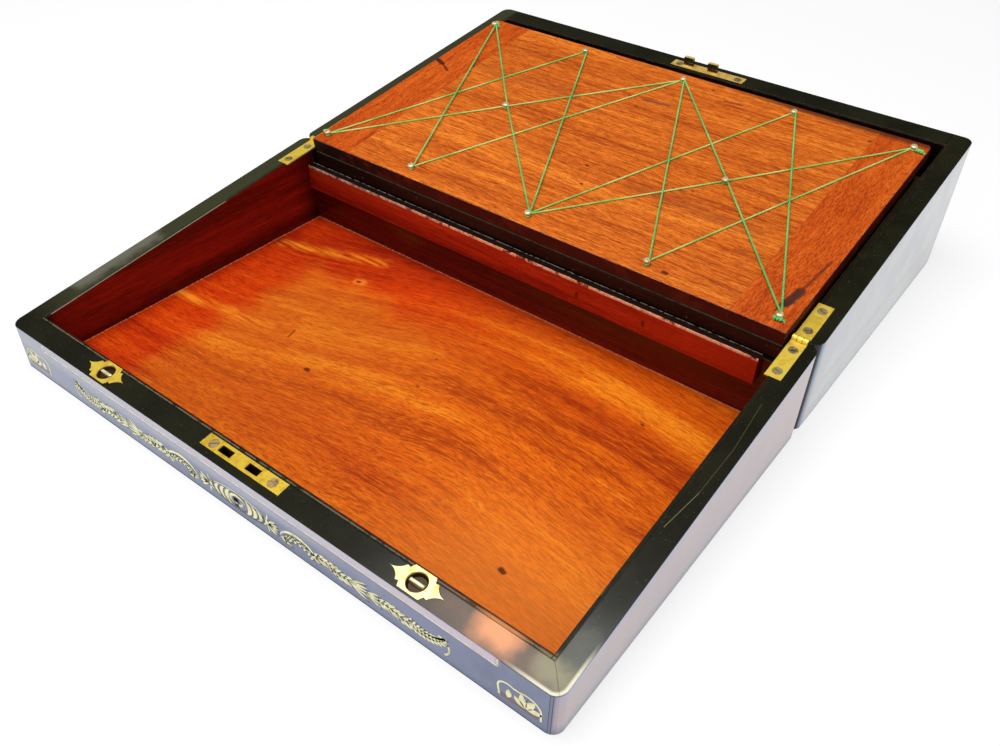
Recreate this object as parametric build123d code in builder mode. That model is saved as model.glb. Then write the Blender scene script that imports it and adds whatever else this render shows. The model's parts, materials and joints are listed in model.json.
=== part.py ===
from build123d import *
import math
import os

os.makedirs("parts", exist_ok=True)

# A writing slope, open on a table. X runs across it, +Y away from the writer, +Z up.
# The origin is on the table, under the middle of the hinge line. The lid is the near half
# (-Y), lying on its flat top, and the base is the far half (+Y). All sizes are in mm.
# "Level" is the height above the sloping rim plane, measured square to it.

# ---- Case sizes ----
case_width = 406.0
half_depth = 246.4
closed_height = 127.0
near_height = 30.4
corner_radius = 6.5
side_wall = 12.2
near_wall = 13.3
far_wall = 15.5
hinge_wall = 7.0
lining = 2.0
skin = 0.8
skin_chamfer = 0.4
lid_board_thickness = 3.2
base_board_thickness = 5.0
closing_gap = 0.3
seat_gap = 0.3

# ---- Flap sizes ----
flap_overhang = 8.0
flap_side_gap = 4.1
fold_gap = 0.15
near_flap_gap = 2.6
far_flap_gap = 0.6
flap_sunk = 2.2
board_thickness = 9.3
leather_thickness = 0.6
leather_inset = 0.5
leather_gap = 0.3
cloth_width = 14.0
cloth_thickness = 0.3
cleat_width = 34.7
cleat_corner = 3.0

# ---- Rails and fittings of the compartments ----
hinge_wall_drop = 2.6
rail_thickness = 5.25
rail_height = 18.2
rail_stop = 14.0
ledge_width = 7.4
ledge_height = 5.0
cheek = 2.0
cheek_drop = 0.6
ledger_width = 8.8
ledger_height = 8.0
pen_wall_thickness = 4.4
well_depth = 40.1
well_floor_thickness = 4.0
divider_thickness = 1.8
divider_drop = 2.5
left_well_width = 57.8
middle_well_width = 73.0
right_well_width = 52.8
tray_drop = 9.8
tray_height = 13.0
tray_clearance = 18.0
scoop_radius = 26.0
scoop_depth = 8.5
scoop_margin = 5.0

# ---- Hinges ----
leaf_width = 9.6
leaf_length = 34.5
leaf_thickness = 1.8
leaf_inset = 7.1
knuckle_radius = 2.3
knuckle_clearance = 0.3
knuckle_gap = 0.15
pin_radius = 0.95
pin_clearance = 0.05
leaf_screw_places = (9.4, 28.5)

# ---- Screws ----
screw_head_radius = 3.0
screw_shank_radius = 1.3
screw_length = 9.0
screw_slot_width = 0.8
screw_slot_depth = 0.6
leaf_head_radius = 2.9
leaf_screw_turns = (35, -20)
lock_screw_turns = (40, -15)
link_screw_turns = (10, 65)

# ---- Lock and hooks ----
lock_inset = 8.94
lock_center = -1.0
lock_plate_length = 60.2
lock_plate_width = 8.3
plate_thickness = 1.5
lock_screw_places = (-24.2, 21.0)
hook_places = (-14.4, 6.4)
hook_hole_length = 9.4
hook_hole_width = 4.3
hook_width = 8.0
hook_height = 7.3
hook_thickness = 2.6
hook_mouth_low = 1.6
hook_mouth_high = 4.7
hook_post = 2.8
hook_rounding = 0.8
link_plate_center = 2.5
link_plate_length = 62.0
link_plate_width = 8.6
link_screw_places = (-22.5, 28.0)
case_thickness = 6.0
case_wall = 0.6
case_end_gap = 0.6
case_shift = 0.55
case_bottom_z = 6.0
bolt_travel = 5.1
bolt_thickness = 4.2
finger_thickness = 2.2
finger_top = 1.85
finger_low = 4.0
finger_length = 4.9
finger_tip = 4.4
arm_width = 2.1
bar_top = 8.4
bar_height = 4.0
bar_margin = 1.5
spring_drop = 0.3
keyhole_z = 11.3
keyhole_radius = 1.7
keyhole_slot = 1.5
keyhole_drop = 3.8
escutcheon_rim = 0.8
escutcheon_thickness = 2.0
key_pin_radius = 0.8
key_pin_length = 2.6
spring_thickness = 0.4
spring_width = 3.2
spring_length = 13.0
spring_rise = 2.6

# ---- Book rests ----
rest_end_inset = 85.0
rest_inset = 8.24
rest_tip = 16.8
rest_shoulder_x = 9.5
rest_shoulder = 4.7
rest_notch_x = 7.6
rest_notch = 4.3
rest_block_x = 6.4
rest_block = 6.9
rest_flank_sag = 0.9
dish_radius = 5.6
dish_floor_radius = 4.5
dish_depth = 3.0
dish_wall = 0.8
dish_bottom = 1.2
blade_length = 8.8
blade_thickness = 1.8
blade_height = 15.5
blade_drop = 0.3
blade_clearance = 0.2
blade_rounding = 0.6
guide_wall = 0.8
guide_depth = 16.5

# ---- Tacks and string of the near flap ----
tack_head_radius = 2.3
tack_head_height = 1.2
tack_shank_radius = 0.6
tack_sunk = 3.0
tack_head_rounding = 1.0
string_radius = 0.6
loop_thickening = 0.06
string_slack = 0.04
string_low = 0.7
string_rise = 1.35
knot_radius = 1.25
knot_height = 1.3
knot_offset = 2.9
tail_radius = 0.5
tail_length = 3.6
tack_head_level = 2.75
near_row_inset = 9.25
far_row_inset = 11.0
# Places of the tacks across the flap, as shares of its half width
near_row = {"a": -0.964, "b": -0.525, "c": 0.016, "d": 0.493, "e": 0.953}
far_row = {"a": -0.969, "b": -0.471, "c": 0.005, "d": 0.490, "e": 0.953}
middle_row = {"f": -0.490, "g": 0.487}

# ---- Worked out from the above ----
half_width = case_width / 2
hinge_height = closed_height / 2
slope_rise = (hinge_height - near_height) / half_depth
slope = math.atan(slope_rise)
rim = Plane(
    origin=(0, 0, hinge_height),
    x_dir=(1, 0, 0),
    z_dir=(0, -math.sin(slope), math.cos(slope)),
)
hinge_level = closing_gap / 2
inner_x = half_width - side_wall
lined_x = inner_x - lining
cheek_x = lined_x - cheek
meeting_y = closing_gap / 2
lid_inner_y = -half_depth + near_wall
lid_lined_y = lid_inner_y + lining
base_inner_y = half_depth - far_wall
hinge_inner_y = meeting_y + hinge_wall
pen_far_y = base_inner_y - lining
pen_near_y = pen_far_y - well_depth
pen_wall_y = pen_near_y - pen_wall_thickness
turning_level = -flap_sunk
far_leather_top = turning_level - leather_gap
far_board_top = far_leather_top - leather_thickness
far_board_low = far_board_top - board_thickness
near_leather_low = turning_level + leather_gap
near_board_low = near_leather_low + leather_thickness
near_board_top = near_board_low + board_thickness
seat_level = far_board_low - seat_gap
flap_x = lined_x - flap_side_gap
cleat_x = flap_x - cleat_width
leaf_low_x = half_width - leaf_inset - leaf_width
leaf_high_x = half_width - leaf_inset
leaf_x = (leaf_low_x + leaf_high_x) / 2
knuckle_length = leaf_width / 3
lock_line = (half_depth - lock_inset) / math.cos(slope)
rest_line = (half_depth - rest_inset) / math.cos(slope)
rest_place = half_width - rest_end_inset
bar_low_x = min(hook_places) - bar_margin
bar_high_x = max(hook_places) + finger_tip + finger_length + arm_width
case_low_x = bar_low_x - bolt_travel - case_end_gap - case_wall
case_high_x = bar_high_x + case_end_gap + case_wall
flap_low_s = -flap_overhang + fold_gap
near_flap_end = -lid_lined_y - 2 * flap_overhang - near_flap_gap
far_flap_end = pen_wall_y - far_flap_gap


def rim_z(y, level=0.0):
    """Height of the plane at this level above the rim plane, over a place in Y."""
    return hinge_height + y * slope_rise + level / math.cos(slope)


def slope_y(s, level=0.0):
    """Place in Y of a point a distance s up the slope from the hinge line."""
    return s * math.cos(slope) - level * math.sin(slope)


def save(part, name):
    """Names a finished piece and writes it."""
    part.label = name
    export_step(part, f"parts/{name}.step")


def save_pair(right_part, name):
    """Writes a right-hand piece and its mirrored left-hand twin."""
    save(right_part.mirror(Plane.YZ), f"left_{name}")
    save(right_part, f"right_{name}")


def outline(y_low, y_high, z):
    """Rounded footprint of one half of the case, at height z."""
    with BuildSketch(Plane.XY.offset(z)) as sketch:
        with Locations((0, (y_low + y_high) / 2)):
            RectangleRounded(case_width, y_high - y_low, corner_radius)
    return sketch.sketch


def wall_footprint(y_low, y_high, corners):
    """Footprint of one wall: the rounded outline inside a polygon of corners."""
    with BuildSketch(Plane.XY.offset(skin)) as sketch:
        with Locations((0, (y_low + y_high) / 2)):
            RectangleRounded(case_width, y_high - y_low, corner_radius)
        Polygon(*corners, align=None, mode=Mode.INTERSECT)
    return sketch.sketch


def side_profile(x, y_low, y_high, z_low, level):
    """Side view of a board that stands on z_low, its top at a level of the rim plane."""
    with BuildSketch(Plane.YZ.offset(x)) as sketch:
        Polygon(
            (y_low, z_low),
            (y_high, z_low),
            (y_high, rim_z(y_high, level)),
            (y_low, rim_z(y_low, level)),
            align=None,
        )
    return sketch.sketch


def strip_profile(x, y_low, y_high, level, height):
    """Side view of a strip whose top and bottom both follow the rim plane."""
    with BuildSketch(Plane.YZ.offset(x)) as sketch:
        Polygon(
            (y_low, rim_z(y_low, level) - height),
            (y_high, rim_z(y_high, level) - height),
            (y_high, rim_z(y_high, level)),
            (y_low, rim_z(y_low, level)),
            align=None,
        )
    return sketch.sketch


def slab(x_low, x_high, s_low, s_high, level, thickness):
    """A flat board in the rim plane's own directions, with its lower face at a level."""
    with BuildPart() as board:
        with BuildSketch(rim.offset(level)):
            with Locations(((x_low + x_high) / 2, (s_low + s_high) / 2)):
                Rectangle(x_high - x_low, s_high - s_low)
        extrude(amount=thickness)
    return board.part


def above_rim():
    """All that is above the rim plane, to trim the walls with."""
    return slab(-case_width, case_width, -case_width, case_width, 0.0, closed_height)


def screws(spots, head_radius, head_depth, turns):
    """Countersunk slotted screws set flush in the rim plane."""
    with BuildPart(rim) as group:
        with Locations(*[(x, s, 0) for x, s in spots]):
            Cone(
                screw_shank_radius,
                head_radius,
                head_depth,
                align=(Align.CENTER, Align.CENTER, Align.MAX),
            )
        with Locations(*[(x, s, -head_depth) for x, s in spots]):
            Cylinder(
                screw_shank_radius,
                screw_length - head_depth,
                align=(Align.CENTER, Align.CENTER, Align.MAX),
            )
        for (x, s), turn in zip(spots, turns):
            with Locations(Location((x, s, 0), (0, 0, turn))):
                Box(
                    2 * head_radius + 1,
                    screw_slot_width,
                    2 * screw_slot_depth,
                    mode=Mode.SUBTRACT,
                )
    return group.part


def screw_room(spots, head_radius, head_depth):
    """The room that countersunk screws take in a plate and in the wood below it."""
    with BuildPart(rim) as room:
        with Locations(*[(x, s, 0) for x, s in spots]):
            Cone(
                screw_shank_radius,
                head_radius,
                head_depth,
                align=(Align.CENTER, Align.CENTER, Align.MAX),
            )
            Cylinder(
                screw_shank_radius,
                screw_length,
                align=(Align.CENTER, Align.CENTER, Align.MAX),
            )
    return room.part


def knuckle(x_low, x_high, radius):
    """A round barrel on the hinge axis."""
    with BuildPart() as barrel:
        with BuildSketch(Plane.YZ.offset(x_low)):
            with Locations((slope_y(0, hinge_level), rim_z(slope_y(0, hinge_level), hinge_level))):
                Circle(radius)
        extrude(amount=x_high - x_low)
    return barrel.part


def leaf_spots(direction):
    """Screw places of a right-hand leaf, on the lid's side (-1) or the base's (+1)."""
    return [(leaf_x, direction * place) for place in leaf_screw_places]


def leaf_room(direction):
    """The room that a right-hand leaf, its barrel and its screws take in the wood."""
    s_low, s_high = sorted((0.0, direction * leaf_length))
    with BuildPart() as room:
        add(slab(leaf_low_x, leaf_high_x, s_low, s_high, -leaf_thickness, 2 * leaf_thickness))
        add(knuckle(leaf_low_x, leaf_high_x, knuckle_radius + knuckle_clearance))
        add(screw_room(leaf_spots(direction), leaf_head_radius, leaf_thickness))
    return room.part


# ==== Lid: the near half, lying on its flat top ====

# Black veneer of the lid's top, which rests on the table
with BuildPart() as lid_top_veneer:
    extrude(to_extrude=outline(-half_depth, -meeting_y, 0), amount=skin)
    chamfer(lid_top_veneer.edges().group_by(Axis.Z)[0], skin_chamfer)
save(lid_top_veneer.part, "lid_top_veneer")

# Mahogany top board between the walls, the floor of the open lid
with BuildPart() as lid_top_board:
    with BuildSketch(Plane.XY.offset(skin)):
        with Locations((0, (lid_inner_y - hinge_inner_y) / 2)):
            Rectangle(2 * inner_x, -hinge_inner_y - lid_inner_y)
    extrude(amount=lid_board_thickness)
save(lid_top_board.part, "lid_top_board")
lid_floor_z = skin + lid_board_thickness

# Near wall of the lid, mitred at both ends, with room for the lock and the book rests
lock_spots = [(x, -lock_line) for x in lock_screw_places]
lock_y = slope_y(-lock_line) + case_shift
rest_places = {"left": -rest_place, "right": rest_place}
guide_length = blade_length + 2 * (blade_clearance + guide_wall)
guide_width = blade_thickness + 2 * (blade_clearance + guide_wall)


def keyhole(y, depth, margin=0.0):
    """A keyhole bored in the +Y direction, its outline grown by a margin."""
    with BuildPart() as hole:
        with BuildSketch(Plane(origin=(lock_center, y, keyhole_z), x_dir=(1, 0, 0), z_dir=(0, -1, 0))):
            Circle(keyhole_radius + margin)
            with Locations((0, -keyhole_drop / 2)):
                Rectangle(keyhole_slot + 2 * margin, keyhole_drop)
            with Locations((0, -keyhole_drop)):
                Circle(keyhole_slot / 2 + margin)
        extrude(amount=-depth)
    return hole.part


def lock_room():
    """The room that the lock plate, its screws and its case take in the near wall."""
    plate_low = lock_center - lock_plate_length / 2
    plate_high = lock_center + lock_plate_length / 2
    s_low = -lock_line - lock_plate_width / 2
    s_high = -lock_line + lock_plate_width / 2
    with BuildPart() as room:
        add(slab(plate_low, plate_high, s_low, s_high, -plate_thickness, 2 * plate_thickness))
        add(screw_room(lock_spots, screw_head_radius, plate_thickness))
        with BuildSketch(Plane.XY.offset(case_bottom_z)):
            with Locations(((case_low_x + case_high_x) / 2, lock_y)):
                Rectangle(case_high_x - case_low_x, case_thickness)
        extrude(amount=near_height)
    return room.part


def rest_plane(x, level):
    """The rim's plane with its origin at a book rest, moved to a level."""
    return Plane(
        origin=rim.from_local_coords((x, -rest_line, level)),
        x_dir=rim.x_dir,
        z_dir=rim.z_dir,
    )


def rest_outline(x, level):
    """Outline of a book-rest plate: a block with pointed, hollow-sided ends."""
    with BuildSketch(rest_plane(x, level)) as sketch:
        with BuildLine(mode=Mode.PRIVATE) as quarter:
            ThreePointArc(
                (rest_tip, 0),
                (
                    (rest_tip + rest_shoulder_x) / 2 - rest_flank_sag,
                    rest_shoulder / 2 - rest_flank_sag,
                ),
                (rest_shoulder_x, rest_shoulder),
            )
            Polyline(
                (rest_shoulder_x, rest_shoulder),
                (rest_notch_x, rest_notch),
                (rest_block_x, rest_block),
                (0, rest_block),
            )
        half = quarter.line + mirror(quarter.line, Plane.YZ)
        whole = half + mirror(half, Plane.XZ)
        make_face(whole.edges())
    return sketch.sketch


def rest_solid(x):
    """A book-rest plate with the cup and the guide tube behind it, before it is hollowed."""
    with BuildPart() as solid:
        extrude(to_extrude=rest_outline(x, -plate_thickness), amount=plate_thickness)
        with BuildSketch(rest_plane(x, -dish_depth - dish_bottom)):
            Circle(dish_radius + dish_wall)
        extrude(amount=dish_depth + dish_bottom)
        add(rest_box(x, guide_length, guide_width, -guide_depth, guide_depth - dish_depth))
    return solid.part


def rest_box(x, length, width, level, height):
    """An upright block at a book rest, with its lower face at a level."""
    s_low = -rest_line - width / 2
    return slab(x - length / 2, x + length / 2, s_low, s_low + width, level, height)


near_footprint = wall_footprint(
    -half_depth,
    -meeting_y,
    [
        (-half_width, -half_depth),
        (half_width, -half_depth),
        (inner_x, lid_inner_y),
        (-inner_x, lid_inner_y),
    ],
)
with BuildPart() as lid_near_wall:
    extrude(to_extrude=near_footprint, amount=closed_height)
    add(above_rim(), mode=Mode.SUBTRACT)
    add(lock_room(), mode=Mode.SUBTRACT)
    add(keyhole(-half_depth, near_wall), mode=Mode.SUBTRACT)
    add(keyhole(-half_depth, escutcheon_thickness, escutcheon_rim), mode=Mode.SUBTRACT)
    for x in rest_places.values():
        add(rest_solid(x), mode=Mode.SUBTRACT)
save(lid_near_wall.part, "lid_near_wall")

# Side walls of the lid, full length, with the hinge leaves let into their top edges
lid_side_footprint = wall_footprint(
    -half_depth,
    -meeting_y,
    [
        (half_width, -half_depth),
        (half_width, -meeting_y),
        (inner_x, -meeting_y),
        (inner_x, lid_inner_y),
    ],
)
with BuildPart() as lid_side_wall:
    extrude(to_extrude=lid_side_footprint, amount=closed_height)
    add(above_rim(), mode=Mode.SUBTRACT)
    add(leaf_room(-1), mode=Mode.SUBTRACT)
save(lid_side_wall.part.mirror(Plane.YZ), "lid_left_wall")
save(lid_side_wall.part, "lid_right_wall")

# Low hinge wall of the lid, and the mahogany rail in front of it that carries the flap
with BuildPart() as lid_hinge_wall:
    extrude(
        to_extrude=side_profile(-inner_x, -hinge_inner_y, -meeting_y, skin, seat_level - hinge_wall_drop),
        amount=2 * inner_x,
    )
save(lid_hinge_wall.part, "lid_hinge_wall")

with BuildPart() as lid_hinge_rail:
    extrude(
        to_extrude=strip_profile(
            -lined_x, -hinge_inner_y - rail_thickness, -hinge_inner_y, seat_level, rail_height
        ),
        amount=2 * lined_x - rail_stop,
    )
save(lid_hinge_rail.part, "lid_hinge_rail")

# Thin mahogany linings of the lid's compartment
with BuildPart() as lid_side_lining:
    extrude(
        to_extrude=side_profile(lined_x, lid_inner_y, -hinge_inner_y, lid_floor_z, 0),
        amount=lining,
    )
    add(leaf_room(-1), mode=Mode.SUBTRACT)
save(lid_side_lining.part.mirror(Plane.YZ), "lid_left_lining")
save(lid_side_lining.part, "lid_right_lining")

with BuildPart() as lid_near_lining:
    extrude(
        to_extrude=side_profile(-lined_x, lid_inner_y, lid_lined_y, lid_floor_z, 0),
        amount=2 * lined_x,
    )
    for x in rest_places.values():
        add(rest_solid(x), mode=Mode.SUBTRACT)
save(lid_near_lining.part, "lid_near_lining")

# Ledge under the near lining's top, for the edge of the unfolded flap
with BuildPart() as lid_near_ledge:
    extrude(
        to_extrude=strip_profile(-lined_x, lid_lined_y, lid_lined_y + ledge_width, seat_level, ledge_height),
        amount=2 * lined_x,
    )
save(lid_near_ledge.part, "lid_near_ledge")

# ==== Lock in the lid's near wall ====

# Lock plate, flush with the rim, its face left bare, with a hole for each hook
with BuildPart() as lock_plate:
    with BuildSketch(rim):
        with Locations((lock_center, -lock_line)):
            Rectangle(lock_plate_length, lock_plate_width)
        with Locations(*[(x, -lock_line) for x in hook_places]):
            Rectangle(hook_hole_length, hook_hole_width, mode=Mode.SUBTRACT)
    extrude(amount=-plate_thickness)
    add(screw_room(lock_spots, screw_head_radius, plate_thickness), mode=Mode.SUBTRACT)
save(lock_plate.part, "lock_plate")

# Open-topped case, standing upright in the wall
case_length = case_high_x - case_low_x
case_center = ((case_low_x + case_high_x) / 2, lock_y)
with BuildPart() as lock_case:
    with BuildSketch(Plane.XY.offset(case_bottom_z)):
        with Locations(case_center):
            Rectangle(case_length, case_thickness)
    extrude(amount=near_height)
    with BuildSketch(Plane.XY.offset(case_bottom_z + case_wall)):
        with Locations(case_center):
            Rectangle(case_length - 2 * case_wall, case_thickness - 2 * case_wall)
    extrude(amount=near_height, mode=Mode.SUBTRACT)
    add(above_rim().moved(Location(rim.z_dir * -plate_thickness)), mode=Mode.SUBTRACT)
    add(keyhole(-half_depth, half_depth + lock_y), mode=Mode.SUBTRACT)
save(lock_case.part, "lock_case")

# Sliding bolt: a bar in the case, with a finger beside each hook's hole
lock_rim_z = rim_z(lock_y)
with BuildPart() as lock_bolt:
    with BuildSketch(Plane.XZ.offset(-lock_y)):
        with Locations(((bar_low_x + bar_high_x) / 2, lock_rim_z - bar_top - bar_height / 2)):
            Rectangle(bar_high_x - bar_low_x, bar_height)
    extrude(amount=bolt_thickness / 2, both=True)
    with BuildSketch(Plane.XZ.offset(-lock_y)):
        for x in hook_places:
            finger_low_x = x + finger_tip
            arm_low_x = finger_low_x + finger_length
            with Locations((finger_low_x + finger_length / 2, lock_rim_z - (finger_top + finger_low) / 2)):
                Rectangle(finger_length, finger_low - finger_top)
            with Locations((arm_low_x + arm_width / 2, lock_rim_z - (finger_top + bar_top) / 2)):
                Rectangle(arm_width, bar_top - finger_top)
    extrude(amount=finger_thickness / 2, both=True)
save(lock_bolt.part, "lock_bolt")

# Leaf spring under the bolt, and the drill pin that the key turns on
spring_root_x = case_high_x - case_wall
spring_root_z = lock_rim_z - bar_top - bar_height - spring_drop - spring_thickness - spring_rise
with BuildPart() as lock_spring:
    with BuildSketch(Plane.XZ.offset(-lock_y)):
        Polygon(
            (spring_root_x, spring_root_z),
            (spring_root_x, spring_root_z + spring_thickness),
            (spring_root_x - spring_length, spring_root_z + spring_rise + spring_thickness),
            (spring_root_x - spring_length, spring_root_z + spring_rise),
            align=None,
        )
    extrude(amount=spring_width / 2, both=True)
save(lock_spring.part, "lock_spring")

with BuildPart() as lock_key_pin:
    with BuildSketch(Plane.XZ.offset(-lock_y - case_thickness / 2 + case_wall)):
        with Locations((lock_center, keyhole_z)):
            Circle(key_pin_radius)
    extrude(amount=key_pin_length)
save(lock_key_pin.part, "lock_key_pin")

with BuildPart() as lock_screws:
    add(screws(lock_spots, screw_head_radius, plate_thickness, lock_screw_turns))
save(lock_screws.part, "lock_screws")

with BuildPart() as keyhole_escutcheon:
    add(keyhole(-half_depth, escutcheon_thickness, escutcheon_rim))
    add(keyhole(-half_depth, escutcheon_thickness), mode=Mode.SUBTRACT)
save(keyhole_escutcheon.part, "keyhole_escutcheon")

# ==== Book rests: a brass plate with a dish and a guide, and a blade that pulls up ====

slot_length = blade_length + 2 * blade_clearance
slot_width = blade_thickness + 2 * blade_clearance


def rest_dish(x):
    """The hollow of the dish in a book-rest plate."""
    with BuildPart(rest_plane(x, 0)) as dish:
        Cone(
            dish_floor_radius,
            dish_radius,
            dish_depth,
            align=(Align.CENTER, Align.CENTER, Align.MAX),
        )
    return dish.part


for side, x in rest_places.items():
    with BuildPart() as rest_plate:
        add(rest_solid(x))
        add(rest_dish(x), mode=Mode.SUBTRACT)
        add(rest_box(x, slot_length, slot_width, -guide_depth, guide_depth), mode=Mode.SUBTRACT)
    save(rest_plate.part, f"{side}_rest_plate")

    with BuildPart() as rest_blade:
        add(rest_box(x, blade_length, blade_thickness, -blade_drop - blade_height, blade_height))
        top_face = rest_blade.faces().sort_by(Axis(rim.origin, rim.z_dir))[-1]
        fillet(top_face.edges(), blade_rounding)
    save(rest_blade.part, f"{side}_rest_blade")

# ==== Rim hinges ====


def leaf(direction, knuckles, gaps):
    """A right-hand hinge leaf, with barrels at some of the three places on the axis."""
    s_low, s_high = sorted((0.0, direction * leaf_length))
    with BuildPart() as plate:
        add(slab(leaf_low_x, leaf_high_x, s_low, s_high, -leaf_thickness, leaf_thickness))
        for place in gaps:
            low_x = leaf_low_x + place * knuckle_length
            room = knuckle(low_x, low_x + knuckle_length, knuckle_radius + knuckle_clearance)
            add(room, mode=Mode.SUBTRACT)
        for place in knuckles:
            low_x = leaf_low_x + place * knuckle_length + knuckle_gap
            add(knuckle(low_x, low_x + knuckle_length - 2 * knuckle_gap, knuckle_radius))
        add(knuckle(leaf_low_x, leaf_high_x, pin_radius + pin_clearance), mode=Mode.SUBTRACT)
        add(screw_room(leaf_spots(direction), leaf_head_radius, leaf_thickness), mode=Mode.SUBTRACT)
    return plate.part


lid_leaf = leaf(-1, knuckles=(0, 2), gaps=(1,))
base_leaf = leaf(1, knuckles=(1,), gaps=(0, 2))
save_pair(lid_leaf, "lid_leaf")
save_pair(base_leaf, "base_leaf")

for half, direction in (("lid", -1), ("base", 1)):
    with BuildPart() as hinge_screws:
        add(screws(leaf_spots(direction), leaf_head_radius, leaf_thickness, leaf_screw_turns))
        mirror(about=Plane.YZ)
    save(hinge_screws.part, f"{half}_hinge_screws")

with BuildPart() as hinge_pins:
    add(knuckle(leaf_low_x + knuckle_gap, leaf_high_x - knuckle_gap, pin_radius))
    mirror(about=Plane.YZ)
save(hinge_pins.part, "hinge_pins")

# ==== Base: the far half ====

with BuildPart() as base_felt:
    extrude(to_extrude=outline(meeting_y, half_depth, 0), amount=skin)
save(base_felt.part, "base_felt")

with BuildPart() as base_bottom:
    with BuildSketch(Plane.XY.offset(skin)):
        with Locations((0, (base_inner_y + hinge_inner_y) / 2)):
            Rectangle(2 * inner_x, base_inner_y - hinge_inner_y)
    extrude(amount=base_board_thickness)
save(base_bottom.part, "base_bottom")

link_spots = [(x, lock_line) for x in link_screw_places]
link_low_x = link_plate_center - link_plate_length / 2
link_high_x = link_plate_center + link_plate_length / 2


def link_slab(thickness):
    """The link plate's outline, let into the rim, built up from the pocket's floor."""
    s_low = lock_line - link_plate_width / 2
    return slab(link_low_x, link_high_x, s_low, s_low + link_plate_width, -plate_thickness, thickness)


far_footprint = wall_footprint(
    meeting_y,
    half_depth,
    [
        (-half_width, half_depth),
        (-inner_x, base_inner_y),
        (inner_x, base_inner_y),
        (half_width, half_depth),
    ],
)
with BuildPart() as base_far_wall:
    extrude(to_extrude=far_footprint, amount=closed_height)
    add(above_rim(), mode=Mode.SUBTRACT)
    add(link_slab(2 * plate_thickness), mode=Mode.SUBTRACT)
    add(screw_room(link_spots, screw_head_radius, plate_thickness), mode=Mode.SUBTRACT)
save(base_far_wall.part, "base_far_wall")

base_side_footprint = wall_footprint(
    meeting_y,
    half_depth,
    [
        (half_width, half_depth),
        (inner_x, base_inner_y),
        (inner_x, meeting_y),
        (half_width, meeting_y),
    ],
)
with BuildPart() as base_side_wall:
    extrude(to_extrude=base_side_footprint, amount=closed_height)
    add(above_rim(), mode=Mode.SUBTRACT)
    add(leaf_room(1), mode=Mode.SUBTRACT)
save(base_side_wall.part.mirror(Plane.YZ), "base_left_wall")
save(base_side_wall.part, "base_right_wall")

with BuildPart() as base_hinge_wall:
    extrude(
        to_extrude=side_profile(-inner_x, meeting_y, hinge_inner_y, skin, seat_level),
        amount=2 * inner_x,
    )
save(base_hinge_wall.part, "base_hinge_wall")

# Linings, and a cheek and a ledger down each side that carry the far flap
base_floor_z = skin + base_board_thickness
with BuildPart() as base_side_lining:
    extrude(
        to_extrude=side_profile(lined_x, hinge_inner_y, base_inner_y, base_floor_z, 0),
        amount=lining,
    )
    add(leaf_room(1), mode=Mode.SUBTRACT)
save(base_side_lining.part.mirror(Plane.YZ), "base_left_lining")
save(base_side_lining.part, "base_right_lining")

with BuildPart() as base_far_lining:
    extrude(
        to_extrude=side_profile(-lined_x, pen_far_y, base_inner_y, base_floor_z, 0),
        amount=2 * lined_x,
    )
save(base_far_lining.part, "base_far_lining")

with BuildPart() as base_cheek:
    extrude(
        to_extrude=side_profile(cheek_x, hinge_inner_y, pen_wall_y, base_floor_z, -cheek_drop),
        amount=cheek,
    )
    add(leaf_room(1), mode=Mode.SUBTRACT)
save(base_cheek.part.mirror(Plane.YZ), "base_left_cheek")
save(base_cheek.part, "base_right_cheek")

with BuildPart() as base_ledger:
    extrude(
        to_extrude=strip_profile(
            cheek_x - ledger_width, hinge_inner_y, pen_wall_y, seat_level, ledger_height
        ),
        amount=ledger_width,
    )
save(base_ledger.part.mirror(Plane.YZ), "base_left_ledger")
save(base_ledger.part, "base_right_ledger")

# Wall, floor, dividers and pen tray of the wells at the far edge
with BuildPart() as pen_wall:
    extrude(
        to_extrude=side_profile(-lined_x, pen_wall_y, pen_near_y, base_floor_z, -divider_drop),
        amount=2 * lined_x,
    )
save(pen_wall.part, "pen_wall")

well_middle_y = (pen_near_y + pen_far_y) / 2
tray_top_z = rim_z(pen_near_y, -tray_drop)
tray_bottom_z = tray_top_z - tray_height
well_top_z = tray_bottom_z - tray_clearance
with BuildPart() as well_floor:
    with BuildSketch(Plane.XY.offset(well_top_z - well_floor_thickness)):
        with Locations((0, well_middle_y)):
            Rectangle(2 * lined_x, well_depth)
    extrude(amount=well_floor_thickness)
save(well_floor.part, "well_floor")

right_divider_x = lined_x - right_well_width
divider_places = {
    "left_divider": -lined_x + left_well_width,
    "middle_divider": right_divider_x - middle_well_width,
    "right_divider": right_divider_x,
}
for name, x in divider_places.items():
    with BuildPart() as divider:
        extrude(
            to_extrude=side_profile(
                x - divider_thickness / 2, pen_near_y, pen_far_y, well_top_z, -divider_drop
            ),
            amount=divider_thickness,
        )
    save(divider.part, name)

tray_low_x = divider_places["left_divider"] + divider_thickness / 2
tray_high_x = divider_places["middle_divider"] - divider_thickness / 2
with BuildPart() as pen_tray:
    with BuildSketch(Plane.YZ.offset(tray_low_x)):
        with Locations((well_middle_y, tray_bottom_z + tray_height / 2)):
            Rectangle(well_depth, tray_height)
    extrude(amount=tray_high_x - tray_low_x)
    with BuildSketch(Plane.YZ.offset(tray_low_x + scoop_margin)):
        with Locations((well_middle_y, tray_top_z + scoop_radius - scoop_depth)):
            Circle(scoop_radius)
    extrude(amount=tray_high_x - tray_low_x - 2 * scoop_margin, mode=Mode.SUBTRACT)
save(pen_tray.part, "pen_tray")

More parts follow.
